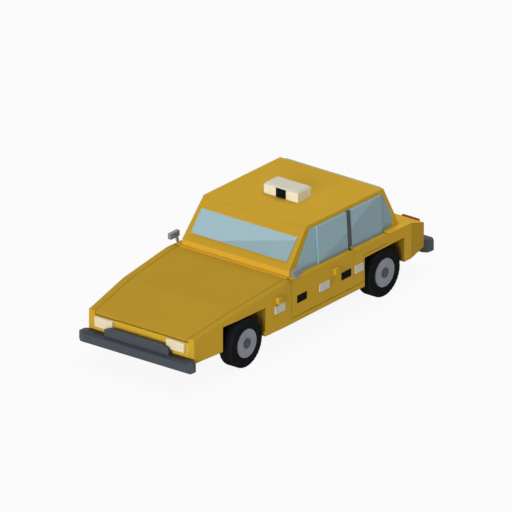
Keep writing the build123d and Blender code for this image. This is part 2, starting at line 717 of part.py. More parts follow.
def jack_sockets():
    """The left side's two jack sockets: blocks with a bore under the rocker."""
    one = JACK_SOCKET
    x, half, low = one["x"], one["half"], SILL_BOTTOM - one["depth"]
    blocks = [
        slab((x - half, x + half), (y - half, y + half), (low, SILL_BOTTOM))
        - rod((x, y, low), (x, y, SILL_BOTTOM), one["radius"])
        for y in JACK_SOCKET_Y]
    return Compound(children=[solid for block in blocks for solid in block.solids()])


def cut_corners(x, z, cut):
    """A rectangle in two coordinates with its four corners cut off."""
    (x_low, x_high), (z_low, z_high), (along, up) = x, z, cut
    return [(x_low, z_low + up), (x_low + along, z_low), (x_high - along, z_low), (x_high, z_low + up),
            (x_high, z_high - up), (x_high - along, z_high), (x_low + along, z_high), (x_low, z_high - up)]


def bumper(outer_y, inner_y, top):
    """A bumper bar with cut ends and cut upper and lower edges."""
    ends = sorted((outer_y, inner_y))
    x, z = (-BUMPER_HALF_WIDTH, BUMPER_HALF_WIDTH), (BUMPER_BOTTOM, top)
    bar = plan_prism(cut_corners(x, ends, BUMPER_END_CUT), *z)
    bar &= end_prism(cut_corners(x, z, BUMPER_EDGE_CUT), *ends)
    inward, up = BUMPER_EDGE_CUT
    turn = 1 if inner_y > outer_y else -1
    section = [(inner_y, z[0]), (outer_y + turn * inward, z[0]), (outer_y, z[0] + up),
               (outer_y, top - up), (outer_y + turn * inward, top), (inner_y, top)]
    return bar & side_prism(section, -FAR, FAR)


def front_bumper():
    """The front bumper with the dark panel that stands on it."""
    front = FRONT_BUMPER_Y + GRILLE_SETBACK
    along, up = GRILLE_CORNER
    half, top = GRILLE_HALF_WIDTH, GRILLE_TOP
    low = BUMPER_TOP - LAP
    outline = [(-half, low), (half, low), (half, top - up), (half - along, top), (along - half, top), (-half, top - up)]
    return bumper(FRONT_BUMPER_Y, NOSE_Y, BUMPER_TOP) + end_prism(outline, front, front + GRILLE_THICKNESS)


def lamp_pair(lamp, face_y, outward):
    """Two lamps on an end face, standing out from it."""
    ends = sorted((face_y, face_y + outward * lamp["depth"]))
    return both_sides(slab((lamp["inner"], lamp["outer"]), ends, (lamp["bottom"], lamp["top"])))


def roof_sign():
    """The sign box on the roof, with chamfered upper edges."""
    box = slab((-SIGN_HALF_WIDTH, SIGN_HALF_WIDTH), (SIGN_FRONT_Y, SIGN_REAR_Y), (ROOF_REAR_Z - LAP, SIGN_TOP))
    box = chamfer(box.faces().sort_by(Axis.Z)[-1].edges(), SIGN_CHAMFER)
    return box - cabin_solid()


def seat(x_low, x_high, front_y, floor_z, seat_z, back_top):
    """A seat: base, cushion and a leaning back in one outline."""
    rear = front_y + SEAT_DEPTH
    outline = [
        (front_y, floor_z), (front_y, seat_z), (rear - SEAT_BACK, seat_z),
        (rear - SEAT_BACK + SEAT_LEAN, back_top), (rear + SEAT_LEAN, back_top), (rear, floor_z)]
    return side_prism(outline, x_low, x_high)


def front_seats():
    """Two front seats on the floor."""
    one = FRONT_SEAT
    floor_z = FLOOR_BOTTOM + FLOOR_THICKNESS
    return both_sides(seat(one["inner"], one["outer"], one["front"], floor_z, one["cushion"], one["top"]))


def rear_seat():
    """The rear bench on the raised floor."""
    one = REAR_SEAT
    floor_z = REAR_FLOOR_BOTTOM + FLOOR_THICKNESS
    return seat(-one["outer"], one["outer"], one["front"], floor_z, one["cushion"], one["top"])


def dashboard():
    """Dashboard on the firewall, with the steering column and wheel."""
    front = FIREWALL_Y + FLOOR_THICKNESS
    inner = CABIN_HALF_WIDTH - SIDE_FRAME
    board = side_prism([(front, DASH_BOTTOM), (front, DASH_TOP)] + DASH_REAR, -inner, inner)
    size = STEERING_WHEEL
    column = rod(STEERING_FOOT, STEERING_HUB, size["column"])
    rise = STEERING_HUB[2] - STEERING_FOOT[2]
    run = STEERING_HUB[1] - STEERING_FOOT[1]
    spoke = Box(2 * size["radius"] - size["grip"], size["spoke"], size["grip"])
    ring = Torus(size["radius"], size["grip"]) + spoke + Cylinder(size["spoke"], size["boss"])
    wheel = Pos(*STEERING_HUB) * Rot(90 + degrees(atan2(rise, run)), 0, 0) * ring
    return board + column + wheel


def engine_block():
    """The engine as one plain block, with the gearbox behind it."""
    one, box = ENGINE, GEARBOX
    engine = slab((-one["half"], one["half"]), (one["front"], one["rear"]), (AXLE_BEAM_TOP, one["top"]))
    return engine + slab((-box["half"], box["half"]), (one["rear"] - 1, box["rear"]), (box["bottom"], box["top"]))


def yoke_zone(low, high):
    """A plate of the front axle's left yoke between two heights."""
    return slab((YOKE_WEB[0], KINGPIN_X + YOKE_HALF), (FRONT_AXLE_Y - YOKE_HALF, FRONT_AXLE_Y + YOKE_HALF), (low, high))


def front_axle():
    """Cross beam under the engine, with a yoke and kingpin at each end."""
    y = (FRONT_AXLE_Y - YOKE_HALF, FRONT_AXLE_Y + YOKE_HALF)
    beam = slab((0, AXLE_BEAM_END), y, (AXLE_BEAM_BOTTOM, AXLE_BEAM_TOP))
    mount = slab((RAIL_INNER, RAIL_INNER + RAIL_WIDTH), y, (AXLE_BEAM_TOP - 1, OVERHANG_BOTTOM))
    knuckle_low, knuckle_high = AXLE_Z - KNUCKLE_HALF_HEIGHT, AXLE_Z + KNUCKLE_HALF_HEIGHT
    low = knuckle_low - YOKE_GAP
    high = knuckle_high + YOKE_GAP
    lower = yoke_zone(low - YOKE_PLATE, low)
    upper = yoke_zone(high, high + YOKE_PLATE)
    web = slab(YOKE_WEB, y, (AXLE_BEAM_BOTTOM, high + YOKE_PLATE))
    pin = rod((KINGPIN_X, FRONT_AXLE_Y, low - LAP), (KINGPIN_X, FRONT_AXLE_Y, high + LAP), KINGPIN_RADIUS)
    side = beam + mount + lower + upper + web + pin
    return side + other_side(side)


def spindle(start_x, axle_y):
    """The stub that a left wheel turns on."""
    return rod((start_x, axle_y, AXLE_Z), (TYRE_OUTER_X - RIM_SETBACK - 12, axle_y, AXLE_Z), SPINDLE_RADIUS)


def knuckle():
    """Left steering knuckle with its stub axle."""
    block = slab((KINGPIN_X - KNUCKLE_HALF, KINGPIN_X + KNUCKLE_HALF),
                 (FRONT_AXLE_Y - KNUCKLE_HALF, FRONT_AXLE_Y + KNUCKLE_HALF),
                 (AXLE_Z - KNUCKLE_HALF_HEIGHT, AXLE_Z + KNUCKLE_HALF_HEIGHT))
    bore = rod((KINGPIN_X, FRONT_AXLE_Y, 0), (KINGPIN_X, FRONT_AXLE_Y, FAR), KINGPIN_RADIUS + RUNNING_CLEARANCE)
    return block + spindle(KINGPIN_X + KNUCKLE_HALF - LAP, FRONT_AXLE_Y) - bore


def rear_axle():
    """Rear axle tube with its final drive, springs, stubs and propeller shaft."""
    tube = rod((0, REAR_AXLE_Y, AXLE_Z), (TUBE_END_X, REAR_AXLE_Y, AXLE_Z), REAR_AXLE_RADIUS)
    stub = spindle(TUBE_END_X - 1, REAR_AXLE_Y)
    spring = rod((SPRING_X, REAR_AXLE_Y, AXLE_Z + LAP), (SPRING_X, REAR_AXLE_Y, REAR_FLOOR_BOTTOM), SPRING_RADIUS)
    side = tube + stub + spring
    drive = rod((-DIFF_HALF, REAR_AXLE_Y, AXLE_Z), (DIFF_HALF, REAR_AXLE_Y, AXLE_Z), DIFF_RADIUS)
    shaft = rod((0, GEARBOX["rear"], SHAFT_Z), (0, REAR_AXLE_Y, SHAFT_Z), SHAFT_RADIUS)
    return side + other_side(side) + drive + shaft


def exhaust():
    """Exhaust pipe from the engine to the tail, with its silencer and hanger."""
    one, can, strap = EXHAUST, SILENCER, HANGER
    x, y, z = one["x"], one["y"], one["z"]
    down = rod((x, y, AXLE_BEAM_TOP), (x, y, z - one["radius"] - LAP), one["stub"])
    pipe = rod((x, y, z), (x, TAIL_Y - LAP * 5, z), one["radius"])
    silencer = slab((can["outer"], can["inner"]), (can["front"], can["rear"]), (can["bottom"], can["top"]))
    hanger = slab((strap["outer"], strap["inner"]), (strap["front"], strap["front"] + strap["thickness"]),
                  (can["top"] - 1, REAR_FLOOR_BOTTOM))
    return down + pipe + silencer + hanger


def fuel_tank():
    """Fuel tank under the boot floor."""
    one = TANK
    tank = slab((one["outer"], one["inner"]), (one["front"], one["rear"]), (one["bottom"], REAR_FLOOR_BOTTOM))
    return chamfer(tank.edges().filter_by(Axis.X), one["chamfer"])


def tyre(axle_y):
    """A left tyre as one ring with cut shoulders."""
    low, high = TYRE_OUTER_X - TYRE_WIDTH, TYRE_OUTER_X
    cut = TYRE_SHOULDER
    section = [
        (low, RIM_RADIUS), (low, TYRE_RADIUS - cut), (low + cut, TYRE_RADIUS),
        (high - cut, TYRE_RADIUS), (high, TYRE_RADIUS - cut), (high, RIM_RADIUS)]
    ring = revolve(Plane.XY * Polygon(*section, align=None), Axis.X)
    return Pos(0, axle_y, AXLE_Z) * ring


def rim(axle_y):
    """A left wheel: rim, disc and hub with its bore."""
    low, high = TYRE_OUTER_X - TYRE_WIDTH, TYRE_OUTER_X
    inner = RIM_RADIUS - RIM_THICKNESS
    face = high - RIM_SETBACK
    bore = SPINDLE_RADIUS + RUNNING_CLEARANCE
    section = [
        (low, RIM_RADIUS), (high, RIM_RADIUS), (high, inner), (face, inner - 6), (face, HUB_RADIUS),
        (high - 4, HUB_RADIUS), (high - 4, 0), (face - 10, 0), (face - 10, bore),
        (face - 90, bore), (face - 90, HUB_RADIUS - 15), (face - RIM_DISC, HUB_RADIUS - 15),
        (face - RIM_DISC, inner), (low, inner)]
    ring = revolve(Plane.XY * Polygon(*section, align=None), Axis.X)
    return Pos(0, axle_y, AXLE_Z) * ring


# All nodes
def build():
    """Every sub-part by its node name."""
    front_pane = door_glass(FRONT_GLASS, (FRONT_PROUD_Y, FAR))
    rear_pane = door_glass(REAR_GLASS, (-FAR, REAR_PROUD_END_Y))
    left = {
        "fender": fender(),
        "quarter": quarter(),
        "side_frame": side_frame(),
        "door_front": door(front_door_outline, handle=True) - front_pane,
        "door_rear": door(rear_door_outline) - rear_pane,
        "glass_front": front_pane,
        "glass_rear": rear_pane,
        "mirror": mirror_piece(),
        "knuckle": knuckle(),
        "jack_sockets": jack_sockets(),
    }
    for end, axle_y in (("front", FRONT_AXLE_Y), ("rear", REAR_AXLE_Y)):
        left["tyre_" + end] = tyre(axle_y)
        left["rim_" + end] = rim(axle_y)
    nodes = {
        "floor_pan": floor_pan(),
        "nose_panel": nose_panel(),
        "tail_panel": tail_panel(),
        "roof_panel": roof_panel(),
        "screen_frame": screen_frame(),
        "rear_frame": rear_frame(),
        "windscreen": windscreen(),
        "rear_window": rear_window(),
        "quarter_glass": both_sides(quarter_glass()),
        "hood": hood(),
        "boot_lid": boot_lid(),
        "front_bumper": front_bumper(),
        "rear_bumper": bumper(REAR_BUMPER_Y, TAIL_Y, REAR_BUMPER_TOP),
        "headlamps": lamp_pair(HEADLAMP, NOSE_Y, -1),
        "tail_lamps": lamp_pair(TAIL_LAMP, TAIL_Y, 1),
        "roof_sign": roof_sign(),
        "front_seats": front_seats(),
        "rear_seat": rear_seat(),
        "dashboard": dashboard(),
        "engine_block": engine_block(),
        "front_axle": front_axle(),
        "rear_axle": rear_axle(),
        "exhaust": exhaust(),
        "fuel_tank": fuel_tank(),
    }
    for name, part in left.items():
        nodes[name + "_left"] = part
        nodes[name + "_right"] = other_side(part)
    return nodes


os.makedirs("parts", exist_ok=True)
for name, part in build().items():
    export_step(part, "parts/" + name + ".step")
    print(name, len(part.solids()), round(part.volume / 1e6, 1), "litres")
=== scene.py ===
"""Taxi cab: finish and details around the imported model.

Metres, +Z up, +X the car's left side, the front faces -Y. Every new piece is a surface worked out with numpy.
"""
import math

import bmesh
import bpy
import numpy as np
from mathutils import Matrix, Vector


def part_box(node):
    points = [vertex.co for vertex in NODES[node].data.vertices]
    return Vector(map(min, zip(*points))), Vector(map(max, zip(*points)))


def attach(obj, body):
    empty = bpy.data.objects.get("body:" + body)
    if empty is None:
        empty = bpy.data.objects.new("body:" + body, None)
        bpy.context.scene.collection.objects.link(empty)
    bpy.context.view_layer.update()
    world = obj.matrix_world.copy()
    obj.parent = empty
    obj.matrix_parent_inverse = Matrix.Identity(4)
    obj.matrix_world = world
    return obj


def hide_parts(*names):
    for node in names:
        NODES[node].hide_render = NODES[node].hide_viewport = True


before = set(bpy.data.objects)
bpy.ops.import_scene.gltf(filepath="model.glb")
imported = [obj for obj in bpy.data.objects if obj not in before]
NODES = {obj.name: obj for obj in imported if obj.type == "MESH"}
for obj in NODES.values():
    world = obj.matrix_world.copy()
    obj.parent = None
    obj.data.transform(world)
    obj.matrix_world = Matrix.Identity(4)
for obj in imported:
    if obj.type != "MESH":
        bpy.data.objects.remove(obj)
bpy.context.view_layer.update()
SIDES = (("left", 1), ("right", -1))

# The picture's view: a parallel one, from the front left and above
VIEW_RIGHT = (0.7916, 0.6111, 0.0)
VIEW_UP = (-0.2422, 0.3138, 0.918)
VIEW_BACK = (0.561, -0.7267, 0.3964)
VIEW_TARGET = (-0.181, 0.224, 0.667)
VIEW_SPAN = 6.4
VIEW_DISTANCE = 20.0

# Colours, linear, and shares of a colour painted on some faces as light and shade: the nose, scuttle, deck
# tops, pane rims and the panes past their lines lighter, the other faces darker
TAXI_YELLOW = (0.655, 0.396, 0.036)
GLASS_BLUE = (0.29, 0.445, 0.500)
# Darker copies of the glass blue: painted shade on the side panes and quarter glass
SHADED_SIDE_BLUE = (0.215, 0.365, 0.420)
SHADED_QUARTER_BLUE = (0.190, 0.350, 0.410)
GLASS_PAINTED_REFLECTION = 1.26
HOOD_PAINTED_SHADE = 0.76
FRAME_PAINTED_SHADE = 0.86
NOSE_PAINTED_LIGHT = 1.15
SCUTTLE_PAINTED_LIGHT = 1.12
HEADER_PAINTED_SHADE = 0.84
REAR_FACE_PAINTED_SHADE = 0.88
DECK_TOP_PAINTED_LIGHT = 1.12
SIGN_END_PAINTED_SHADE = 0.92
ARCH_PAINTED_SHADE = 0.42
PANE_RIM_PAINTED_HIGHLIGHT = 1.75
SIGN_TOP_PAINTED_SHADE = 0.76
BUMPER_TOP_PAINTED_SHADE = 0.60
BUMPER_GREY = (0.056, 0.066, 0.082)
LENS_CREAM = (0.86, 0.76, 0.52)
SIGN_CREAM = (0.90, 0.86, 0.70)
LENS_RED = (0.36, 0.004, 0.005)
WHEEL_GREY = (0.225, 0.238, 0.270)
CAP_GREY = (0.035, 0.040, 0.052)
TYRE_BLACK = (0.0145, 0.0156, 0.0165)
POST_GREY = (0.060, 0.064, 0.078)
MIRROR_GREY = (0.235, 0.252, 0.285)
MIRROR_SILVER = (0.75, 0.78, 0.80)
SQUARE_WHITE = (0.66, 0.635, 0.585)
SQUARE_BLACK = (0.0085, 0.0095, 0.0125)
SEAT_CLOTH = (0.050, 0.052, 0.060)
TRIM_DARK = (0.030, 0.031, 0.035)
UNDERSEAL = (0.020, 0.020, 0.020)
IRON = (0.085, 0.085, 0.090)
STEEL_BLACK = (0.028, 0.028, 0.031)
CARPET = (0.035, 0.034, 0.036)
ROOF_LINING = (0.42, 0.41, 0.38)


# Places where one finish, or one painted light or shade, gives way to another
DOOR_TRIM_X = 0.852
FRAME_TRIM_X = 0.7605
ROCKER_X = 0.7595
CARPET_Z = 0.345
# SCUTTLE_TOP_Z parts the scuttle's painted light from the frame's painted shade; ARCH_TOP_Z and the arch Y
# limits bound the painted shade inside the wheel arches
SCUTTLE_TOP_Z = 0.946
ARCH_TOP_Z = 0.676
FRONT_ARCH_Y = (-1.826, -1.014)
REAR_ARCH_Y = (0.994, 1.806)

# Lines across the panes, a + b X + c Y + d Z = 0, past which a painted reflection makes the pane paler
SCREEN_LINE = (-1.105, -0.211, 0.0, 1.0)
FRONT_PANE_LINE = (-0.824, 0.0, -0.366, 1.0)
REAR_PANE_LINE = (-0.771, 0.0, -0.430, 1.0)
SCREEN_ALPHA = 0.88
PANE_ALPHA = 0.86


# Material building
class Finish:
    """A material under construction: its tree, its main shader and its object coordinates."""

    def __init__(self, name, color, roughness, **sockets):
        self.material = bpy.data.materials.new(name)
        self.material.use_nodes = True
        self.tree = self.material.node_tree
        self.shader = self.tree.nodes["Principled BSDF"]
        self.color = color
        self.set("Base Color", (*color, 1.0))
        self.set("Roughness", roughness)
        for socket, value in sockets.items():
            self.set(socket.replace("_", " "), value)
        self.place = self.tree.nodes.new("ShaderNodeTexCoord").outputs["Object"]

    def set(self, socket, value):
        self.shader.inputs[socket].default_value = value

    def link(self, source, target):
        self.tree.links.new(source, target)

    def add(self, kind, **settings):
        node = self.tree.nodes.new(kind)
        for key, value in settings.items():
            setattr(node, key, value)
        return node

    def noise(self, scale, detail=3.0):
        """A noise value from 0 to 1."""
        node = self.add("ShaderNodeTexNoise")
        node.inputs["Scale"].default_value = scale
        node.inputs["Detail"].default_value = detail
        self.link(self.place, node.inputs["Vector"])
        return node.outputs["Fac"]

    def ramp(self, value, low, high, dark, light):
        """A colour that goes from dark to light as a value goes from low to high."""
        node = self.add("ShaderNodeValToRGB")
        node.color_ramp.elements[0].position = low
        node.color_ramp.elements[1].position = high
        node.color_ramp.elements[0].color = (*dark, 1.0)
        node.color_ramp.elements[1].color = (*light, 1.0)
        self.link(value, node.inputs["Fac"])
        return node.outputs["Color"]

    def mix(self, factor, first, second):
        """The second colour over the first by a factor. A colour is a socket or three numbers."""
        node = self.add("ShaderNodeMix", data_type="RGBA")
        self.link(factor, node.inputs["Factor"])
        for socket, value in zip(node.inputs[6:8], (first, second)):
            if isinstance(value, tuple):
                socket.default_value = (*value, 1.0)
            else:
                self.link(value, socket)
        return node.outputs[2]

    def compare(self, value, threshold, greater=True):
        """1 where a value is past a threshold, else 0."""
        node = self.add("ShaderNodeMath", operation="GREATER_THAN" if greater else "LESS_THAN")
        self.link(value, node.inputs[0])
        node.inputs[1].default_value = threshold
        return node.outputs[0]

    def both(self, first, *others):
        """The product of values, 1 where all of them are 1."""
        for other in others:
            node = self.add("ShaderNodeMath", operation="MULTIPLY")
            self.link(first, node.inputs[0])
            self.link(other, node.inputs[1])
            first = node.outputs[0]
        return first

    def facing(self):
        """X, Y and Z of the surface's own direction, in the piece's axes."""
        split = self.add("ShaderNodeSeparateXYZ")
        self.link(self.add("ShaderNodeTexCoord").outputs["Normal"], split.inputs[0])
        return split.outputs[0], split.outputs[1], split.outputs[2]

    def axes(self):
        """The size of X, and Y and Z of a point, as three values."""
        split = self.add("ShaderNodeSeparateXYZ")
        self.link(self.place, split.inputs[0])
        width = self.add("ShaderNodeMath", operation="ABSOLUTE")
        self.link(split.outputs[0], width.inputs[0])
        return width.outputs[0], split.outputs[1], split.outputs[2]

    def shades(self, scale, spread):
        """Base colour that varies by a spread, over a noise of a scale."""
        dark = toned(self.color, 1 - spread)
        light = tuple(min(1.0, c) for c in toned(self.color, 1 + spread))
        return self.ramp(self.noise(scale), 0.3, 0.7, dark, light)

    def paint_with(self, color):
        self.link(color, self.shader.inputs["Base Color"])

    def roughness_from(self, value, low, high):
        """Roughness between two values, by a noise."""
        node = self.add("ShaderNodeMapRange")
        node.inputs["To Min"].default_value = low
        node.inputs["To Max"].default_value = high
        self.link(value, node.inputs["Value"])
        self.link(node.outputs["Result"], self.shader.inputs["Roughness"])

    def bump(self, height, distance, strength):
        """Relief of a height pattern, in metres."""
        node = self.add("ShaderNodeBump")
        node.inputs["Distance"].default_value = distance
        node.inputs["Strength"].default_value = strength
        self.link(height, node.inputs["Height"])
        self.link(node.outputs["Normal"], self.shader.inputs["Normal"])


def toned(color, share):
    """A share of a colour."""
    return tuple(c * share for c in color)


def paint_finish(name, color, zones=None):
    """Car paint: a soft satin coat with faint unevenness, and any other finish, painted light and shade
    included, in its zones.
    """
    finish = Finish(name, color, 0.50, Coat_Weight=0.03, Coat_Roughness=0.30, Specular_IOR_Level=0.0)
    surface = finish.shades(1.3, 0.022)
    if zones:
        surface = zones(finish, surface)
    finish.paint_with(surface)
    finish.roughness_from(finish.noise(9.0), 0.46, 0.54)
    finish.bump(finish.noise(420.0, 2.0), 0.0004, 0.12)
    return finish.material


def trimmed_inside(inner_x):
    """Zones where all that lies nearer the middle than inner_x is lined with dark trim."""

    def zones(finish, surface):
        width, _, _ = finish.axes()
        return finish.mix(finish.compare(width, inner_x, greater=False), surface, TRIM_DARK)

    return zones


def floor_zones(finish, surface):
    """Rockers in body colour, and underseal or carpet between them."""
    width, _, height = finish.axes()
    inner = finish.mix(finish.compare(height, CARPET_Z), UNDERSEAL, CARPET)
    return finish.mix(finish.compare(width, ROCKER_X), inner, surface)


def roof_zones(finish, surface):
    """Body colour outside, painted shade on the slope over the windscreen, and a pale lining under the roof."""
    _, ahead, up = finish.facing()
    # Faces that look forward get a darker copy of the yellow: painted shade
    surface = finish.mix(finish.compare(ahead, -0.2, greater=False), surface, toned(TAXI_YELLOW, HEADER_PAINTED_SHADE))
    return finish.mix(finish.compare(up, -0.5, greater=False), surface, ROOF_LINING)


def frame_zones(finish, _):
    """Painted light on the scuttle below the windscreen, and painted shade on pillars and header."""
    _, _, height = finish.axes()
    low, high = toned(TAXI_YELLOW, SCUTTLE_PAINTED_LIGHT), toned(TAXI_YELLOW, FRAME_PAINTED_SHADE)
    return finish.mix(finish.compare(height, SCUTTLE_TOP_Z), low, high)


def light_and_shade_by_facing(*rules):
    """Zones of painted light and shade: a share of the base colour on faces that look along an axis by at least
    an amount.
    """

    def zones(finish, surface):
        directions = finish.facing()
        for axis, least, tone in rules:
            surface = finish.mix(finish.compare(directions[axis], least), surface, toned(finish.color, tone))
        return surface

    return zones


def wing_zones(y_low, y_high, *rules):
    """Zones of painted shade inside a wheel arch, and painted light and shade by the way a face looks."""

    def zones(finish, surface):
        _, y, height = finish.axes()
        inside = finish.both(finish.compare(y, y_low), finish.compare(y, y_high, greater=False),
                             finish.compare(height, ARCH_TOP_Z, greater=False))
        # Inside the arch a deeper copy of the colour: painted shade
        surface = finish.mix(inside, surface, toned(finish.color, ARCH_PAINTED_SHADE))
        return light_and_shade_by_facing(*rules)(finish, surface)

    return zones


def glass_finish(name, color, alpha, edge=None):
    """Pale blue tinted glass that shows a little of what is behind it.

    An edge is a line across the pane. Past it a paler copy of the tint is painted on as a reflection, and such
    a pane has painted highlights on its front and top rims.
    """
    finish = Finish(name, color, 0.09, Coat_Weight=0.4, Coat_Roughness=0.04, IOR=1.5)
    surface = finish.shades(0.9, 0.03)
    if edge:
        line = finish.add("ShaderNodeVectorMath", operation="DOT_PRODUCT")
        finish.link(finish.place, line.inputs[0])
        line.inputs[1].default_value = edge[1:]
        # Past the line a paler copy of the tint: a painted reflection
        past = finish.compare(line.outputs["Value"], -edge[0])
        surface = finish.mix(past, surface, toned(color, GLASS_PAINTED_REFLECTION))
        # Front and top rims a paler copy of the tint: painted highlights
        _, ahead, up = finish.facing()
        for rim in (finish.compare(ahead, -0.9, greater=False), finish.compare(up, 0.9)):
            surface = finish.mix(rim, surface, toned(color, PANE_RIM_PAINTED_HIGHLIGHT))
    finish.paint_with(surface)
    finish.set("Alpha", alpha)
    finish.bump(finish.noise(2.5, 1.0), 0.002, 0.04)
    return finish.material


def moulded_finish(name, color, roughness=0.55, grain=900.0, depth=0.0004, zones=None):
    """Moulded plastic or rubber with a fine grain."""
    finish = Finish(name, color, roughness, Specular_IOR_Level=0.25)
    surface = finish.shades(6.0, 0.05)
    finish.paint_with(zones(finish, surface) if zones else surface)
    cells = finish.add("ShaderNodeTexVoronoi", feature="SMOOTH_F1")
    cells.inputs["Scale"].default_value = grain
    finish.link(finish.place, cells.inputs["Vector"])
    finish.bump(cells.outputs["Distance"], depth, 0.35)
    finish.roughness_from(finish.noise(25.0), roughness - 0.05, roughness + 0.07)
    return finish.material


def lens_finish(name, color, zones=None):
    """A coloured lamp lens: a little glossy, with light soaking in a little."""
    finish = Finish(name, color, 0.34, Coat_Weight=0.05, Coat_Roughness=0.12, Specular_IOR_Level=0.08,
                    Subsurface_Weight=0.05)
    finish.set("Subsurface Radius", (0.01, 0.008, 0.005))
    surface = finish.shades(12.0, 0.02)
    finish.paint_with(zones(finish, surface) if zones else surface)
    finish.bump(finish.noise(60.0, 2.0), 0.0006, 0.1)
    return finish.material


def cloth_finish(name, color):
    """Woven seat cloth: crossed threads by two wave patterns, with a soft sheen."""
    finish = Finish(name, color, 0.88, Sheen_Weight=0.35, Sheen_Roughness=0.5)
    threads = []
    for direction in ("X", "Z"):
        wave = finish.add("ShaderNodeTexWave", bands_direction=direction)
        wave.inputs["Scale"].default_value = 110.0
        wave.inputs["Distortion"].default_value = 1.2
        finish.link(finish.place, wave.inputs["Vector"])
        threads.append(wave.outputs["Fac"])
    weave = finish.both(*threads)
    finish.paint_with(finish.ramp(weave, 0.1, 0.8, toned(color, 0.7), toned(color, 1.45)))
    finish.bump(weave, 0.0015, 0.5)
    return finish.material


def metal_finish(name, color, roughness, metallic, scale, depth):
    """Cast, pressed or painted metal with a fine uneven skin."""
    finish = Finish(name, color, roughness, Metallic=metallic)
    finish.paint_with(finish.shades(7.0, 0.09))
    finish.roughness_from(finish.noise(14.0), roughness - 0.08, roughness + 0.10)
    finish.bump(finish.noise(scale, 5.0), depth, 0.4)
    return finish.material


def tyre_finish(name, color):
    """Tyre rubber: dull, a little dusty, with fine mould texture."""
    finish = Finish(name, color, 0.80, Specular_IOR_Level=0.0)
    finish.paint_with(finish.shades(14.0, 0.18))
    finish.roughness_from(finish.noise(30.0), 0.74, 0.88)
    finish.bump(finish.noise(600.0, 2.0), 0.0005, 0.3)
    return finish.material


PAINT = paint_finish("taxi_yellow", TAXI_YELLOW)
PAINT_DOOR = paint_finish("door_yellow", TAXI_YELLOW, trimmed_inside(DOOR_TRIM_X))
PAINT_SIDE = paint_finish("side_frame_yellow", TAXI_YELLOW, trimmed_inside(FRAME_TRIM_X))
PAINT_FLOOR = paint_finish("rocker_yellow", TAXI_YELLOW, floor_zones)
PAINT_ROOF = paint_finish("roof_yellow", TAXI_YELLOW, roof_zones)
# The hood is a darker copy of the yellow: painted shade
SHADED_HOOD_PAINT = paint_finish("hood_yellow_painted_shade", toned(TAXI_YELLOW, HOOD_PAINTED_SHADE))
# Fender tops get the hood's painted shade
PAINT_FENDER = paint_finish(
    "fender_yellow", TAXI_YELLOW, wing_zones(*FRONT_ARCH_Y, (2, 0.5, HOOD_PAINTED_SHADE)))
# Rear quarters: painted shade on faces that look back, painted light on their tops
PAINT_QUARTER = paint_finish(
    "quarter_yellow", TAXI_YELLOW, wing_zones(*REAR_ARCH_Y, (1, 0.1, REAR_FACE_PAINTED_SHADE), (2, 0.8, DECK_TOP_PAINTED_LIGHT)))
# Boot lid and rear frame: painted light on their tops
PAINT_DECK = paint_finish("deck_yellow", TAXI_YELLOW, light_and_shade_by_facing((2, 0.8, DECK_TOP_PAINTED_LIGHT)))
# The nose is a brighter copy of the yellow: painted light
LIT_NOSE_PAINT = paint_finish("nose_yellow_painted_light", toned(TAXI_YELLOW, NOSE_PAINTED_LIGHT))
PAINT_FRAME = paint_finish("screen_frame_yellow", TAXI_YELLOW, frame_zones)
SCREEN = glass_finish("screen_glass", GLASS_BLUE, SCREEN_ALPHA, edge=SCREEN_LINE)
REAR_SCREEN = glass_finish("rear_screen_glass", GLASS_BLUE, SCREEN_ALPHA)
SIDE_GLASS = glass_finish("side_glass", SHADED_QUARTER_BLUE, PANE_ALPHA)
FRONT_PANE = glass_finish("front_pane_glass", SHADED_SIDE_BLUE, PANE_ALPHA, edge=FRONT_PANE_LINE)
REAR_PANE = glass_finish("rear_pane_glass", SHADED_SIDE_BLUE, PANE_ALPHA, edge=REAR_PANE_LINE)
# Bumper tops a darker copy of the grey: painted shade
BUMPER = moulded_finish(
    "bumper_moulding", BUMPER_GREY, 0.58, zones=light_and_shade_by_facing((2, 0.6, BUMPER_TOP_PAINTED_SHADE)))
CREAM_LENS = lens_finish("headlamp_lens", LENS_CREAM)
RED_LENS = lens_finish("tail_lens", LENS_RED)
# Sign: painted shade on its top and chamfer, and on its ends
SIGN = lens_finish(
    "sign_shell", SIGN_CREAM, light_and_shade_by_facing((2, 0.3, SIGN_TOP_PAINTED_SHADE), (0, 0.9, SIGN_END_PAINTED_SHADE)))
WHEEL = metal_finish("wheel_paint", WHEEL_GREY, 0.45, 0.25, 160.0, 0.0003)
CAP = metal_finish("hub_cap", CAP_GREY, 0.42, 0.30, 160.0, 0.0003)
TYRE = tyre_finish("tyre_rubber", TYRE_BLACK)
POST = moulded_finish("post_cover", POST_GREY, 0.50)
MIRROR_SHELL = moulded_finish("mirror_shell", MIRROR_GREY, 0.42, 1400.0, 0.0002)
MIRROR_FACE = metal_finish("mirror_glass", MIRROR_SILVER, 0.10, 1.0, 3.0, 0.0001)
WHITE = paint_finish("white_square", SQUARE_WHITE)
BLACK = paint_finish("black_square", SQUARE_BLACK)
CLOTH = cloth_finish("seat_cloth", SEAT_CLOTH)
TRIM = moulded_finish("dark_trim", TRIM_DARK, 0.62, 500.0, 0.0006)
CAST = metal_finish("cast_iron", IRON, 0.62, 0.55, 90.0, 0.0015)
CHASSIS = metal_finish("chassis_black", STEEL_BLACK, 0.55, 0.30, 60.0, 0.0010)

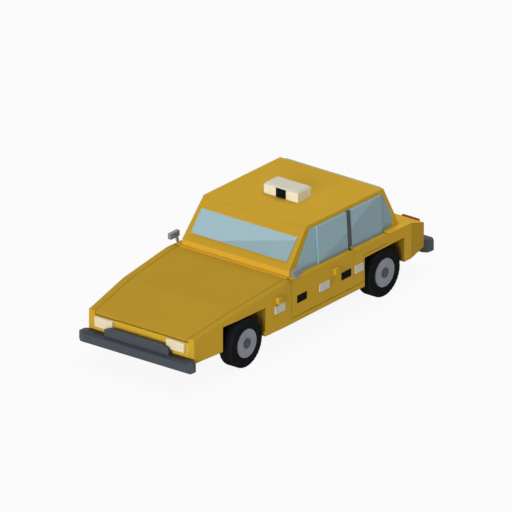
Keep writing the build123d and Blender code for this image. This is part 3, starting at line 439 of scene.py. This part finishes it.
NODE_FINISH = {
    "hood": SHADED_HOOD_PAINT, "boot_lid": PAINT_DECK, "nose_panel": LIT_NOSE_PAINT, "tail_panel": PAINT,
    "roof_panel": PAINT_ROOF, "screen_frame": PAINT_FRAME, "rear_frame": PAINT_DECK, "floor_pan": PAINT_FLOOR,
    "windscreen": SCREEN, "rear_window": REAR_SCREEN, "quarter_glass": SIDE_GLASS,
    "front_bumper": BUMPER, "rear_bumper": BUMPER, "headlamps": CREAM_LENS, "tail_lamps": RED_LENS,
    "roof_sign": SIGN, "front_seats": CLOTH, "rear_seat": CLOTH, "dashboard": TRIM, "engine_block": CAST,
    "front_axle": CHASSIS, "rear_axle": CHASSIS, "exhaust": CHASSIS, "fuel_tank": CHASSIS,
}
SIDE_FINISH = {
    "fender": PAINT_FENDER, "quarter": PAINT_QUARTER, "side_frame": PAINT_SIDE, "door_front": PAINT_DOOR,
    "door_rear": PAINT_DOOR, "glass_front": FRONT_PANE, "glass_rear": REAR_PANE, "mirror": MIRROR_SHELL,
    "knuckle": CHASSIS, "tyre_front": TYRE, "tyre_rear": TYRE, "rim_front": WHEEL, "rim_rear": WHEEL,
    "jack_sockets": CHASSIS,
}
NODE_FINISH.update({f"{name}_{side}": f for name, f in SIDE_FINISH.items() for side, _ in SIDES})
for node_name, node_material in NODE_FINISH.items():
    NODES[node_name].data.materials.clear()
    NODES[node_name].data.materials.append(node_material)


# Surfaces
def grid_faces(rows, columns, wrap_rows=False, wrap_columns=True):
    """Quads between neighbours of a grid, joined round where it wraps."""
    i, j = np.meshgrid(np.arange(rows if wrap_rows else rows - 1),
                       np.arange(columns if wrap_columns else columns - 1), indexing="ij")
    below, beside = (i + 1) % rows, (j + 1) % columns
    quads = [i * columns + j, i * columns + beside, below * columns + beside, below * columns + j]
    return np.stack(quads, -1).reshape(-1, 4).tolist()


def put(name, points, faces, material, body, smooth=False, closed=True):
    """Puts a surface into a mesh object that rides on a body. A closed one gets its faces turned outwards."""
    mesh = bpy.data.meshes.new(name)
    mesh.from_pydata(np.asarray(points, float).reshape(-1, 3).tolist(), [], faces)
    work = bmesh.new()
    work.from_mesh(mesh)
    bmesh.ops.remove_doubles(work, verts=work.verts, dist=1e-6)
    if closed:
        bmesh.ops.recalc_face_normals(work, faces=work.faces)
    work.to_mesh(mesh)
    work.free()
    mesh.materials.append(material)
    mesh.polygons.foreach_set("use_smooth", np.full(len(mesh.polygons), smooth))
    piece = bpy.data.objects.new(name, mesh)
    bpy.context.scene.collection.objects.link(piece)
    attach(piece, body)
    return piece


def joined(parts):
    """Several (points, faces) surfaces as one, with their face numbers moved on."""
    points, faces, start = [], [], 0
    for part_points, part_faces in parts:
        part_points = np.asarray(part_points, float).reshape(-1, 3)
        points.append(part_points)
        faces += [[index + start for index in face] for face in part_faces]
        start += len(part_points)
    return np.concatenate(points), faces


def flipped(points, sign):
    """Points on the left side, or their twins on the right."""
    return np.asarray(points, float).reshape(-1, 3) * (sign, 1, 1)


ROUND_STEPS = 4


def soft_block(low, high, radius, along=2, corner=None):
    """A box with round edges: a round cornered outline carried along one axis.

    The outline is four quarter circles of radius corner at the box's corners. At each end it is drawn in
    by radius times one less sine of t while it moves on by radius times one less cosine of t, t from 0 to
    90 degrees.
    """
    steps = ROUND_STEPS
    low, high = np.minimum(low, high), np.maximum(low, high)
    middle, half = (low + high) / 2, (high - low) / 2
    first, second = [axis for axis in range(3) if axis != along]
    corner = max(radius * 1.001, corner or radius * 1.001)
    quarter = np.linspace(0, np.pi / 2, steps)
    angle = (quarter[None, :] + np.arange(4)[:, None] * np.pi / 2).ravel()
    side_a, side_b = np.repeat([1, -1, -1, 1], steps), np.repeat([1, 1, -1, -1], steps)
    inset = radius * (1 - np.sin(quarter))
    rise = radius * (1 - np.cos(quarter))
    insets = np.concatenate([inset, inset[::-1]])[:, None]
    levels = np.concatenate([rise - half[along], half[along] - rise[::-1]])[:, None]
    points = np.zeros((2 * steps, 4 * steps, 3))
    points[..., first] = side_a * (half[first] - corner) + (corner - insets) * np.cos(angle)
    points[..., second] = side_b * (half[second] - corner) + (corner - insets) * np.sin(angle)
    points[..., along] = levels
    faces = grid_faces(2 * steps, 4 * steps)
    last = (2 * steps - 1) * 4 * steps
    faces += [list(range(4 * steps)), list(range(last, last + 4 * steps))]
    return points + middle, faces


def turned(profile, centre, steps, wrap=False):
    """A profile of (x, radius) points turned about a line along X through centre."""
    profile = np.asarray(profile, float)
    angle = np.linspace(0, 2 * np.pi, steps, endpoint=False)
    points = np.zeros((len(profile), steps, 3))
    points[..., 0] = profile[:, :1]
    points[..., 1] = profile[:, 1:] * np.cos(angle)
    points[..., 2] = profile[:, 1:] * np.sin(angle)
    return points + np.array([0, centre[0], centre[1]]), grid_faces(len(profile), steps, wrap_rows=wrap)


def round_profile(corners, radii, steps=5):
    """A line through corner points with each corner rounded by an arc that touches both runs."""
    corners = np.asarray(corners, float)
    points = [corners[:1]]
    for before, corner, after, radius in zip(corners, corners[1:], corners[2:], radii):
        back, ahead = before - corner, after - corner
        back, ahead = back / np.linalg.norm(back), ahead / np.linalg.norm(ahead)
        half_angle = np.arccos(np.clip(back @ ahead, -1, 1)) / 2
        reach = radius / np.tan(half_angle)
        bisector = (back + ahead) / np.linalg.norm(back + ahead)
        centre = corner + bisector * radius / np.sin(half_angle)
        start, end = corner + back * reach - centre, corner + ahead * reach - centre
        share = np.linspace(0, 1, steps)[:, None]
        arc = start * (1 - share) + end * share
        points.append(centre + arc / np.linalg.norm(arc, axis=1, keepdims=True) * radius)
    points.append(corners[-1:])
    return np.concatenate(points)


# Wheels
WHEELS = [(end, side, sign) for end in ("front", "rear") for side, sign in SIDES]
TYRE_STEPS = 144
GROOVES = (-0.052, -0.018, 0.018, 0.052)
GROOVE_HALF = 0.004
GROOVE_DEPTH = 0.008
SIPE_DEPTH = 0.006
SIPES = 36
SHOULDER_X = 0.057
SHOULDER_DEEP = 0.030
BEAD_RADIUS = 0.188


def tyre_surface(low, high):
    """A tyre: its section turned about the axle, with grooves and cross cuts.

    The section has round shoulders and slightly bulged sides. The tread's radius drops by a groove depth
    within a groove's half width of each groove's line, and at the shoulders by a cross cut's depth where
    the sine of SIPES times the angle is over 0.6.
    """
    middle_x, centre = (low[0] + high[0]) / 2, ((low[1] + high[1]) / 2, (low[2] + high[2]) / 2)
    half, radius = (high[0] - low[0]) / 2, (high[2] - low[2]) / 2
    side = round_profile(
        [(half - 0.020, BEAD_RADIUS), (half - 0.002, BEAD_RADIUS + 0.012), (half, radius - 0.050),
         (half - 0.002, radius - 0.014), (half - 0.014, radius - 0.001), (half - 0.034, radius)],
        (0.008, 0.05, 0.008, 0.008))
    sides = np.array((-1.0, -0.7, 0.7, 1.0)) * GROOVE_HALF
    edges = [groove + side_offset for groove in GROOVES for side_offset in sides]
    deep = [radius - (GROOVE_DEPTH if i % 4 in (1, 2) else 0) for i in range(len(edges))]
    tread = np.stack([edges, deep], -1)[::-1]
    section = np.concatenate([side, tread, side[::-1] * (-1, 1)])
    inner = np.array([(-half + 0.030, BEAD_RADIUS - 0.002), (half - 0.030, BEAD_RADIUS - 0.002)])
    section = np.concatenate([section, inner])
    points, faces = turned(section, (0, 0), TYRE_STEPS, wrap=True)
    angle = np.linspace(0, 2 * np.pi, TYRE_STEPS, endpoint=False)
    shoulder = (np.abs(section[:, 0]) > SHOULDER_X) & (section[:, 1] > radius - SHOULDER_DEEP)
    cut = SIPE_DEPTH * (np.sin(SIPES * angle + 0.4) > 0.6)
    scale = 1 - shoulder[:, None] * cut[None, :] / radius
    points[..., 1:] *= scale[..., None]
    return points + np.array([middle_x, *centre]), faces


COVER_RADIUS = 0.188
COVER_STEPS = 96
HUB_CAP_RADIUS = 0.068
HUB_CAP_STEPS = 64
COVER_PROUD = 0.010
NUTS = 5
NUT_CIRCLE = 0.046
NUT_RADIUS = 0.0085


def end_face(profile, steps):
    """The face that closes a turned profile at its last ring."""
    return [list(range((len(profile) - 1) * steps, len(profile) * steps))]


def wheel_cover(outer_x, centre, sign):
    """The pressed cover that fills the wheel: a dished disc with a rolled edge, turned about the axle."""
    face = outer_x + COVER_PROUD
    profile = round_profile(
        [(outer_x - 0.020, COVER_RADIUS - 0.004), (face, COVER_RADIUS), (face, COVER_RADIUS - 0.014),
         (face - 0.005, COVER_RADIUS - 0.022), (face - 0.001, HUB_CAP_RADIUS + 0.030),
         (face - 0.006, HUB_CAP_RADIUS + 0.004), (face - 0.006, 0.001)],
        (0.006, 0.004, 0.006, 0.02, 0.006))
    points, faces = turned(profile, centre, COVER_STEPS)
    return flipped(points, sign), faces + end_face(profile, COVER_STEPS)


def hub_cap(outer_x, centre, sign):
    """The dark centre cap: a low dome with a flat top, turned about the axle, and its ring of nuts."""
    face = outer_x + COVER_PROUD + 0.004
    dome = round_profile(
        [(face - 0.012, HUB_CAP_RADIUS), (face - 0.002, HUB_CAP_RADIUS - 0.002), (face, 0.030), (face, 0.0005)],
        (0.004, 0.05))
    points, faces = turned(dome, centre, HUB_CAP_STEPS)
    parts = [(points, faces + end_face(dome, HUB_CAP_STEPS))]
    nut = round_profile(
        [(face - 0.004, NUT_RADIUS), (face + 0.003, NUT_RADIUS), (face + 0.004, 0.0005)], (0.002,), 3)
    for turn in np.arange(NUTS) * 2 * np.pi / NUTS:
        place = (centre[0] + NUT_CIRCLE * np.cos(turn), centre[1] + NUT_CIRCLE * np.sin(turn))
        points, faces = turned(nut, place, 6)
        parts.append((points, faces + end_face(nut, 6)))
    points, faces = joined(parts)
    return flipped(points, sign), faces


def make_wheels():
    """Tyres, covers and caps of the four wheels."""
    for end, side, sign in WHEELS:
        node, body = f"tyre_{end}_{side}", f"wheel_{end}_{side}"
        low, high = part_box(node)
        points, faces = tyre_surface(low, high)
        tyre = put(f"tyre_form_{end}_{side}", points, faces, TYRE, body)
        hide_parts(node)
        outer_x = max(abs(low[0]), abs(high[0]))
        centre = ((low[1] + high[1]) / 2, (low[2] + high[2]) / 2)
        points, faces = wheel_cover(outer_x, centre, sign)
        put(f"wheel_cover_{end}_{side}", points, faces, WHEEL, body, smooth=True,
            closed=False)
        points, faces = hub_cap(outer_x, centre, sign)
        put(f"hub_cap_{end}_{side}", points, faces, CAP, body)


# Checker squares along each side: the piece that carries each, Y of its middle, and whether it is light
SQUARE_HALF_LENGTH = 0.100
SQUARE_HALF_HEIGHT = 0.0525
SQUARE_Z = 0.578
SQUARE_PROUD = 0.016
SQUARE_FLUSH = 0.0022
SQUARE_SUNK = 0.004
SQUARE_CORNER = 0.003
SQUARE_ROUND = 0.0020
SQUARES = (("chassis", -0.7375, True), ("door_front", -0.2875, False), ("door_front", 0.1625, True),
           ("door_front", 0.6175, False))
END_SQUARE_Y = (0.790, 0.955)
SIDE_X, NOSE_SIDE_X = 0.940, 0.902
CREASE_Y, NOSE_Y = -0.626, -1.560


def side_face_x(y):
    """X of the body's side at a station ahead of the doors' widest stretch."""
    return SIDE_X - max(0.0, CREASE_Y - y) * (SIDE_X - NOSE_SIDE_X) / (CREASE_Y - NOSE_Y)


def square_block(y_low, y_high, base, proud, edge):
    """One square: a thin round edged block let into the side."""
    low = (base - SQUARE_SUNK, y_low, SQUARE_Z - SQUARE_HALF_HEIGHT)
    high = (base + proud, y_high, SQUARE_Z + SQUARE_HALF_HEIGHT)
    return soft_block(low, high, edge, along=0, corner=SQUARE_CORNER)


def make_squares():
    """The row of light and black squares on each side, the last one shortened ahead of the wheel arch."""
    for side, sign in SIDES:
        for count, (carrier, y, light) in enumerate(SQUARES):
            proud, edge = (SQUARE_PROUD, SQUARE_ROUND) if light else (SQUARE_FLUSH, SQUARE_ROUND / 2)
            points, faces = square_block(
                y - SQUARE_HALF_LENGTH, y + SQUARE_HALF_LENGTH, side_face_x(y), proud, edge)
            body = carrier if carrier == "chassis" else f"{carrier}_{side}"
            put(f"square_{count}_{side}", flipped(points, sign), faces, WHITE if light else BLACK, body)
        points, faces = square_block(*END_SQUARE_Y, SIDE_X, SQUARE_PROUD, SQUARE_ROUND)
        put(f"square_end_{side}", flipped(points, sign), faces, WHITE, f"door_rear_{side}")


# Cabin side lean and the dark cover on the post between the doors
BELT_Z, BELT_X = 0.945, 0.845
ROOF_EDGE_Z, ROOF_EDGE_X = 1.419, 0.813
POST_Y = 0.776
POST_HEIGHTS = (0.885, BELT_Z, 1.15, 1.3575)
POST_HALF, POST_OUTER, POST_INNER, POST_LIP = 0.0312, 0.0372, -0.0010, 0.004


def cabin_x(z):
    """X of the cabin's leaning side at heights."""
    lean = (BELT_X - ROOF_EDGE_X) / (ROOF_EDGE_Z - BELT_Z)
    return BELT_X - np.maximum(0, z - BELT_Z) * lean


def make_post_covers():
    """Dark channel over the post between the doors: a U outline in plan carried up the leaning side."""
    outline = round_profile(
        [(-POST_HALF, POST_INNER), (-POST_HALF, POST_OUTER), (POST_HALF, POST_OUTER), (POST_HALF, POST_INNER)],
        (POST_LIP, POST_LIP))
    heights = np.array(POST_HEIGHTS)
    for side, sign in SIDES:
        points = np.zeros((len(heights), len(outline), 3))
        points[..., 0] = cabin_x(heights)[:, None] + outline[:, 1]
        points[..., 1] = POST_Y + outline[:, 0]
        points[..., 2] = heights[:, None]
        faces = grid_faces(len(heights), len(outline))
        last = (len(heights) - 1) * len(outline)
        faces += [list(range(len(outline))), list(range(last, last + len(outline)))]
        put(f"post_cover_{side}", flipped(points, sign), faces, POST, "chassis")


# Lamps
HEAD_FLUTES, TAIL_FLUTES = 26, 18
FLUTE_DEPTH = 0.0018
LAMP_RIM = 0.009


def fluted_face(low, high, y_face, outward, count):
    """A lamp's front: a sheet whose depth is the size of the sine of count half waves across it."""
    columns, rows = count * 6 + 1, 3
    u, v = np.meshgrid(np.linspace(0, 1, columns), np.linspace(0, 1, rows))
    points = np.zeros((rows, columns, 3))
    points[..., 0] = low[0] + (high[0] - low[0]) * u
    points[..., 1] = y_face + outward * FLUTE_DEPTH * np.abs(np.sin(np.pi * count * u))
    points[..., 2] = low[1] + (high[1] - low[1]) * v
    return points, grid_faces(rows, columns, wrap_columns=False)


def make_lamps():
    """Headlamps and tail lamps: a round edged shell and a fluted face let into it."""
    for node, material, slot, outward, count, label in (
            ("headlamps", CREAM_LENS, "lamp_lens", -1, HEAD_FLUTES, "headlamp"),
            ("tail_lamps", RED_LENS, "red_lens", 1, TAIL_FLUTES, "tail_lamp")):
        low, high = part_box(node)
        co = np.array([v.co for v in NODES[node].data.vertices])
        inner = co[co[:, 0] > 0, 0].min()
        for side, sign in SIDES:
            shell, shell_faces = soft_block(
                (inner, low[1], low[2]), (high[0], high[1], high[2]), 0.006, along=1, corner=0.008)
            y_face = (low[1] if outward < 0 else high[1]) + outward * -0.0008
            face, face_faces = fluted_face(
                (inner + LAMP_RIM, low[2] + LAMP_RIM), (high[0] - LAMP_RIM, high[2] - LAMP_RIM),
                y_face, outward, count)
            points, faces = joined([(shell, shell_faces), (face, face_faces)])
            piece = put(f"{label}_{side}", flipped(points, sign), faces, material, "chassis",
                        closed=False)
            turn_out(piece, shell_count=len(shell_faces))
            if side == "left":
                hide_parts(node)


def turn_out(piece, shell_count):
    """Turns the faces of a closed shell outwards, and an open face with it away from the shell's middle."""
    work = bmesh.new()
    work.from_mesh(piece.data)
    work.faces.ensure_lookup_table()
    bmesh.ops.recalc_face_normals(work, faces=work.faces[:shell_count])
    middle = sum((v.co for v in work.verts), Vector()) / len(work.verts)
    for face in work.faces[shell_count:]:
        if face.normal.dot(face.calc_center_median() - middle) < 0:
            face.normal_flip()
    work.to_mesh(piece.data)
    work.free()


# Mirrors: the corners of the left one's plate
MIRROR_LOW, MIRROR_HIGH = (0.952, -0.3460, 0.943), (0.992, -0.3425, 1.009)


def make_mirror_faces():
    """The reflecting plate let into the rear face of each mirror: a thin round cornered block."""
    for side, sign in SIDES:
        points, faces = soft_block(MIRROR_LOW, MIRROR_HIGH, 0.0012, along=1, corner=0.008)
        put(f"mirror_face_{side}", flipped(points, sign), faces, MIRROR_FACE, f"door_front_{side}")


# Roof sign
SIGN_PANEL_HALF = 0.078
SIGN_PANEL_PROUD = 0.004
SIGN_CHAMFER = 0.026


def make_sign():
    """The blank dark panel on each long face of the sign."""
    low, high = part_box("roof_sign")
    for label, y in (("front", low[1]), ("rear", high[1])):
        points, faces = soft_block(
            (-SIGN_PANEL_HALF, y - SIGN_PANEL_PROUD, low[2] + 0.004),
            (SIGN_PANEL_HALF, y + SIGN_PANEL_PROUD, high[2] - SIGN_CHAMFER - 0.001),
            0.0015, along=1, corner=0.002)
        put(f"sign_panel_{label}", points, faces, BLACK, "chassis")


# Seats
PAD_VOXEL = 0.012
PAD_PRESSURE = 4.0
PAD_FRAMES = 20
PAD_REACH = 0.016
PAD_INSET = 0.010
PLEAT_DEPTH, PLEAT_WIDTH, PLEAT_NEAR = 0.014, 0.010, 0.035


def sheared(points, base_z, slope):
    """Points leaned back: Y grows with the height above a base by a slope."""
    points = np.asarray(points, float).reshape(-1, 3).copy()
    points[:, 1] += (points[:, 2] - base_z) * slope
    return points


def swell(piece, start_points):
    """Cloth under inner pressure for a few frames, with no point moved further than the pad's reach."""
    cloth = piece.modifiers.new("Cloth", "CLOTH")
    cloth.settings.use_pressure = True
    cloth.settings.uniform_pressure_force = PAD_PRESSURE
    cloth.settings.effector_weights.gravity = 0
    cloth.settings.quality = 4
    cloth.point_cache.frame_end = PAD_FRAMES
    for step in range(1, PAD_FRAMES + 1):
        bpy.context.scene.frame_set(step)
    graph = bpy.context.evaluated_depsgraph_get()
    moved = np.zeros(len(start_points) * 3)
    piece.evaluated_get(graph).data.vertices.foreach_get("co", moved)
    shift = moved.reshape(-1, 3) - start_points
    length = np.linalg.norm(shift, axis=1, keepdims=True)
    shift *= np.minimum(1.0, PAD_REACH / np.maximum(length, 1e-9))
    piece.modifiers.remove(cloth)
    bpy.context.scene.frame_set(1)
    return start_points + shift


def mesh_points(mesh):
    """A mesh's vertices as an array."""
    points = np.zeros(len(mesh.vertices) * 3)
    mesh.vertices.foreach_get("co", points)
    return points.reshape(-1, 3)


def make_pad(name, low, high, radius, pleats, lean=None, pleat_face=(2, 1)):
    """A padded piece: a round edged block that swells as cloth, then gets its sewn channels.

    A channel lowers the chosen face by its depth times exp(-(d / width) squared), d the distance along X
    to its line. The face is an axis and the side of it.
    """
    core = np.add(low, PAD_INSET), np.subtract(high, PAD_INSET)
    points, faces = soft_block(*core, radius, corner=radius * 1.3)
    piece = put(name, points, faces, CLOTH, "chassis", smooth=True)
    remesh = piece.modifiers.new("Remesh", "REMESH")
    remesh.mode = "VOXEL"
    remesh.voxel_size = PAD_VOXEL
    remesh.use_smooth_shade = True
    graph = bpy.context.evaluated_depsgraph_get()
    fine = bpy.data.meshes.new_from_object(piece.evaluated_get(graph))
    piece.modifiers.clear()
    piece.data = fine
    fine.materials.clear()
    fine.materials.append(CLOTH)
    start = mesh_points(fine)
    final = swell(piece, start)
    final = np.clip(final, np.asarray(low) - 0.004, np.asarray(high) + 0.004)
    axis, direction = pleat_face
    top = (high if direction > 0 else low)[axis]
    near = np.exp(-((final[:, axis] - top) / PLEAT_NEAR) ** 2)
    for line in pleats:
        depth = PLEAT_DEPTH * np.exp(-((final[:, 0] - line) / PLEAT_WIDTH) ** 2) * near
        final[:, axis] -= direction * depth
    if lean:
        final = sheared(final, *lean)
    fine.vertices.foreach_set("co", final.astype(np.float32).ravel())
    fine.update()
    subdivision = piece.modifiers.new("Subdivision", "SUBSURF")
    subdivision.levels = subdivision.render_levels = 1


def make_front_seats():
    """Two front seats: plinth, cushion and leaning back."""
    lean = (0.600, 0.110 / 0.530)
    for side, sign in SIDES:
        left, right = sorted((0.150 * sign, 0.650 * sign))
        plinth, plinth_faces = soft_block((left + 0.03, 0.125, 0.371), (right - 0.03, 0.575, 0.470), 0.012)
        base = put(f"seat_plinth_{side}", plinth, plinth_faces, TRIM, "chassis")
        lines = np.linspace(left, right, 6)[1:-1]
        make_pad(f"seat_cushion_{side}", (left, 0.112, 0.455), (right, 0.600, 0.600), 0.050, lines)
        make_pad(f"seat_back_{side}", (left, 0.462, 0.590), (right, 0.586, 1.128), 0.045, lines,
                 lean=lean, pleat_face=(1, -1))
        if side == "left":
            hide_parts("front_seats")


def make_rear_seat():
    """The rear bench: plinth, cushion and leaning back across the cabin."""
    plinth, plinth_faces = soft_block((-0.62, 1.02, 0.521), (0.62, 1.46, 0.560), 0.010)
    base = put("bench_plinth", plinth, plinth_faces, TRIM, "chassis")
    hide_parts("rear_seat")
    lines = np.linspace(-0.640, 0.640, 10)[1:-1]
    make_pad("bench_cushion", (-0.640, 1.002, 0.540), (0.640, 1.400, 0.660), 0.045, lines)
    make_pad("bench_back", (-0.640, 1.352, 0.640), (0.640, 1.476, 1.078), 0.045, lines,
             lean=(0.660, 0.110 / 0.420), pleat_face=(1, -1))


# Door inner panels
# Y and Z of the low and high corners of each door's card, and its inner and outer X
DOOR_CARDS = {"front": ((-0.425, 0.400), (0.712, 0.800)), "rear": ((0.840, 0.745), (1.455, 0.800))}
CARD_X = (0.838, 0.8495)


def make_door_cards():
    """Trim on each door's inner face: a thin round edged card with an arm rest."""
    for end, ((y_low, z_low), (y_high, z_high)) in DOOR_CARDS.items():
        for side, sign in SIDES:
            card = soft_block((CARD_X[0], y_low, z_low), (CARD_X[1], y_high, z_high), 0.004, along=0,
                              corner=0.03)
            length = y_high - y_low
            rest_z = z_high - 0.055
            rest = soft_block((0.795, y_low + 0.30 * length, rest_z - 0.022),
                              (0.842, y_low + 0.80 * length, rest_z + 0.022), 0.014)
            points, faces = joined([card, rest])
            put(f"door_card_{end}_{side}", flipped(points, sign), faces, TRIM, f"door_{end}_{side}")


# Dashboard details
def make_dashboard_details():
    """Instrument hood, a centre panel and a glove box lid."""
    hood = soft_block((0.235, -0.375, 0.862), (0.565, -0.215, 0.918), 0.018, along=0)
    panel = soft_block((-0.120, -0.252, 0.700), (0.120, -0.205, 0.840), 0.008, along=1, corner=0.012)
    glove = soft_block((-0.640, -0.226, 0.680), (-0.240, -0.196, 0.760), 0.006, along=1, corner=0.015)
    points, faces = joined([hood, panel, glove])
    put("dash_details", points, faces, TRIM, "chassis")


# Camera, light and floor
def make_camera():
    """A parallel camera with the picture's own axes."""
    data = bpy.data.cameras.new("camera")
    data.type = "ORTHO"
    data.ortho_scale = VIEW_SPAN
    camera = bpy.data.objects.new("camera", data)
    bpy.context.scene.collection.objects.link(camera)
    axes = Matrix((VIEW_RIGHT, VIEW_UP, VIEW_BACK)).transposed().to_4x4()
    place = Vector(VIEW_TARGET) + Vector(VIEW_BACK) * VIEW_DISTANCE
    camera.matrix_world = Matrix.Translation(place) @ axes
    data.clip_end = 100
    bpy.context.scene.camera = camera


# Studio lamps: direction towards each, strength on a face that looks at it, and its width in degrees
LAMPS = {"overhead": ((0.0, 0.45, 1.0), 0.53, 60.0), "front": ((0.22, -1.0, 0.06), 0.98, 40.0)}
WORLD_STRENGTH = 0.25


def make_light():
    """Broad lamps from above and from the front, and even light from all round."""
    for name, (direction, strength, width) in LAMPS.items():
        data = bpy.data.lights.new(name, "SUN")
        data.energy = strength * math.pi
        data.angle = math.radians(width)
        lamp = bpy.data.objects.new(name, data)
        bpy.context.scene.collection.objects.link(lamp)
        lamp.rotation_mode = "QUATERNION"
        lamp.rotation_quaternion = Vector(direction).to_track_quat("Z", "Y")
    world = bpy.data.worlds.new("studio")
    bpy.context.scene.world = world
    world.use_nodes = True
    tree = world.node_tree
    light, seen = tree.nodes["Background"], tree.nodes.new("ShaderNodeBackground")
    for background, strength in ((light, WORLD_STRENGTH), (seen, 1.0)):
        background.inputs["Strength"].default_value = strength
        background.inputs["Color"].default_value = (1, 1, 1, 1)
    mix = tree.nodes.new("ShaderNodeMixShader")
    tree.links.new(shown_rays(tree), mix.inputs["Fac"])
    tree.links.new(light.outputs[0], mix.inputs[1])
    tree.links.new(seen.outputs[0], mix.inputs[2])
    tree.links.new(mix.outputs[0], tree.nodes["World Output"].inputs["Surface"])


def shown_rays(tree):
    """1 for rays that come straight, mirrored or through glass from the camera."""
    path = tree.nodes.new("ShaderNodeLightPath")
    total = path.outputs["Is Camera Ray"]
    for name in ("Is Glossy Ray", "Is Transmission Ray"):
        node = tree.nodes.new("ShaderNodeMath")
        node.operation = "MAXIMUM"
        tree.links.new(total, node.inputs[0])
        tree.links.new(path.outputs[name], node.inputs[1])
        total = node.outputs[0]
    return total


FLOOR_HALF = 60.0
FLOOR_GLOW = 0.92
FLOOR_GREY = (0.60, 0.60, 0.60, 1)


def make_floor():
    """A pale floor: mostly its own white to the eye, with enough plain surface to keep the shadow."""
    side = np.array([(-1, -1, 0), (1, -1, 0), (1, 1, 0), (-1, 1, 0)], float) * FLOOR_HALF
    mesh = bpy.data.meshes.new("floor")
    mesh.from_pydata(side.tolist(), [], [(0, 1, 2, 3)])
    floor = bpy.data.objects.new("floor", mesh)
    bpy.context.scene.collection.objects.link(floor)
    material = bpy.data.materials.new("pale_floor")
    material.use_nodes = True
    tree = material.node_tree
    surface = tree.nodes["Principled BSDF"]
    surface.inputs["Base Color"].default_value = FLOOR_GREY
    surface.inputs["Roughness"].default_value = 0.9
    surface.inputs["Specular IOR Level"].default_value = 0.1
    glow = tree.nodes.new("ShaderNodeEmission")
    glow.inputs["Strength"].default_value = 1.0
    mix = tree.nodes.new("ShaderNodeMixShader")
    share = tree.nodes.new("ShaderNodeMath")
    share.operation = "MULTIPLY"
    share.inputs[1].default_value = FLOOR_GLOW
    tree.links.new(shown_rays(tree), share.inputs[0])
    tree.links.new(share.outputs[0], mix.inputs["Fac"])
    tree.links.new(surface.outputs[0], mix.inputs[1])
    tree.links.new(glow.outputs[0], mix.inputs[2])
    tree.links.new(mix.outputs[0], tree.nodes["Material Output"].inputs["Surface"])
    mesh.materials.append(material)


make_camera()
make_light()
make_floor()
make_wheels()
make_squares()
make_post_covers()
make_lamps()
make_mirror_faces()
make_sign()
make_front_seats()
make_rear_seat()
make_door_cards()
make_dashboard_details()

bpy.context.scene.view_settings.view_transform = "Standard"
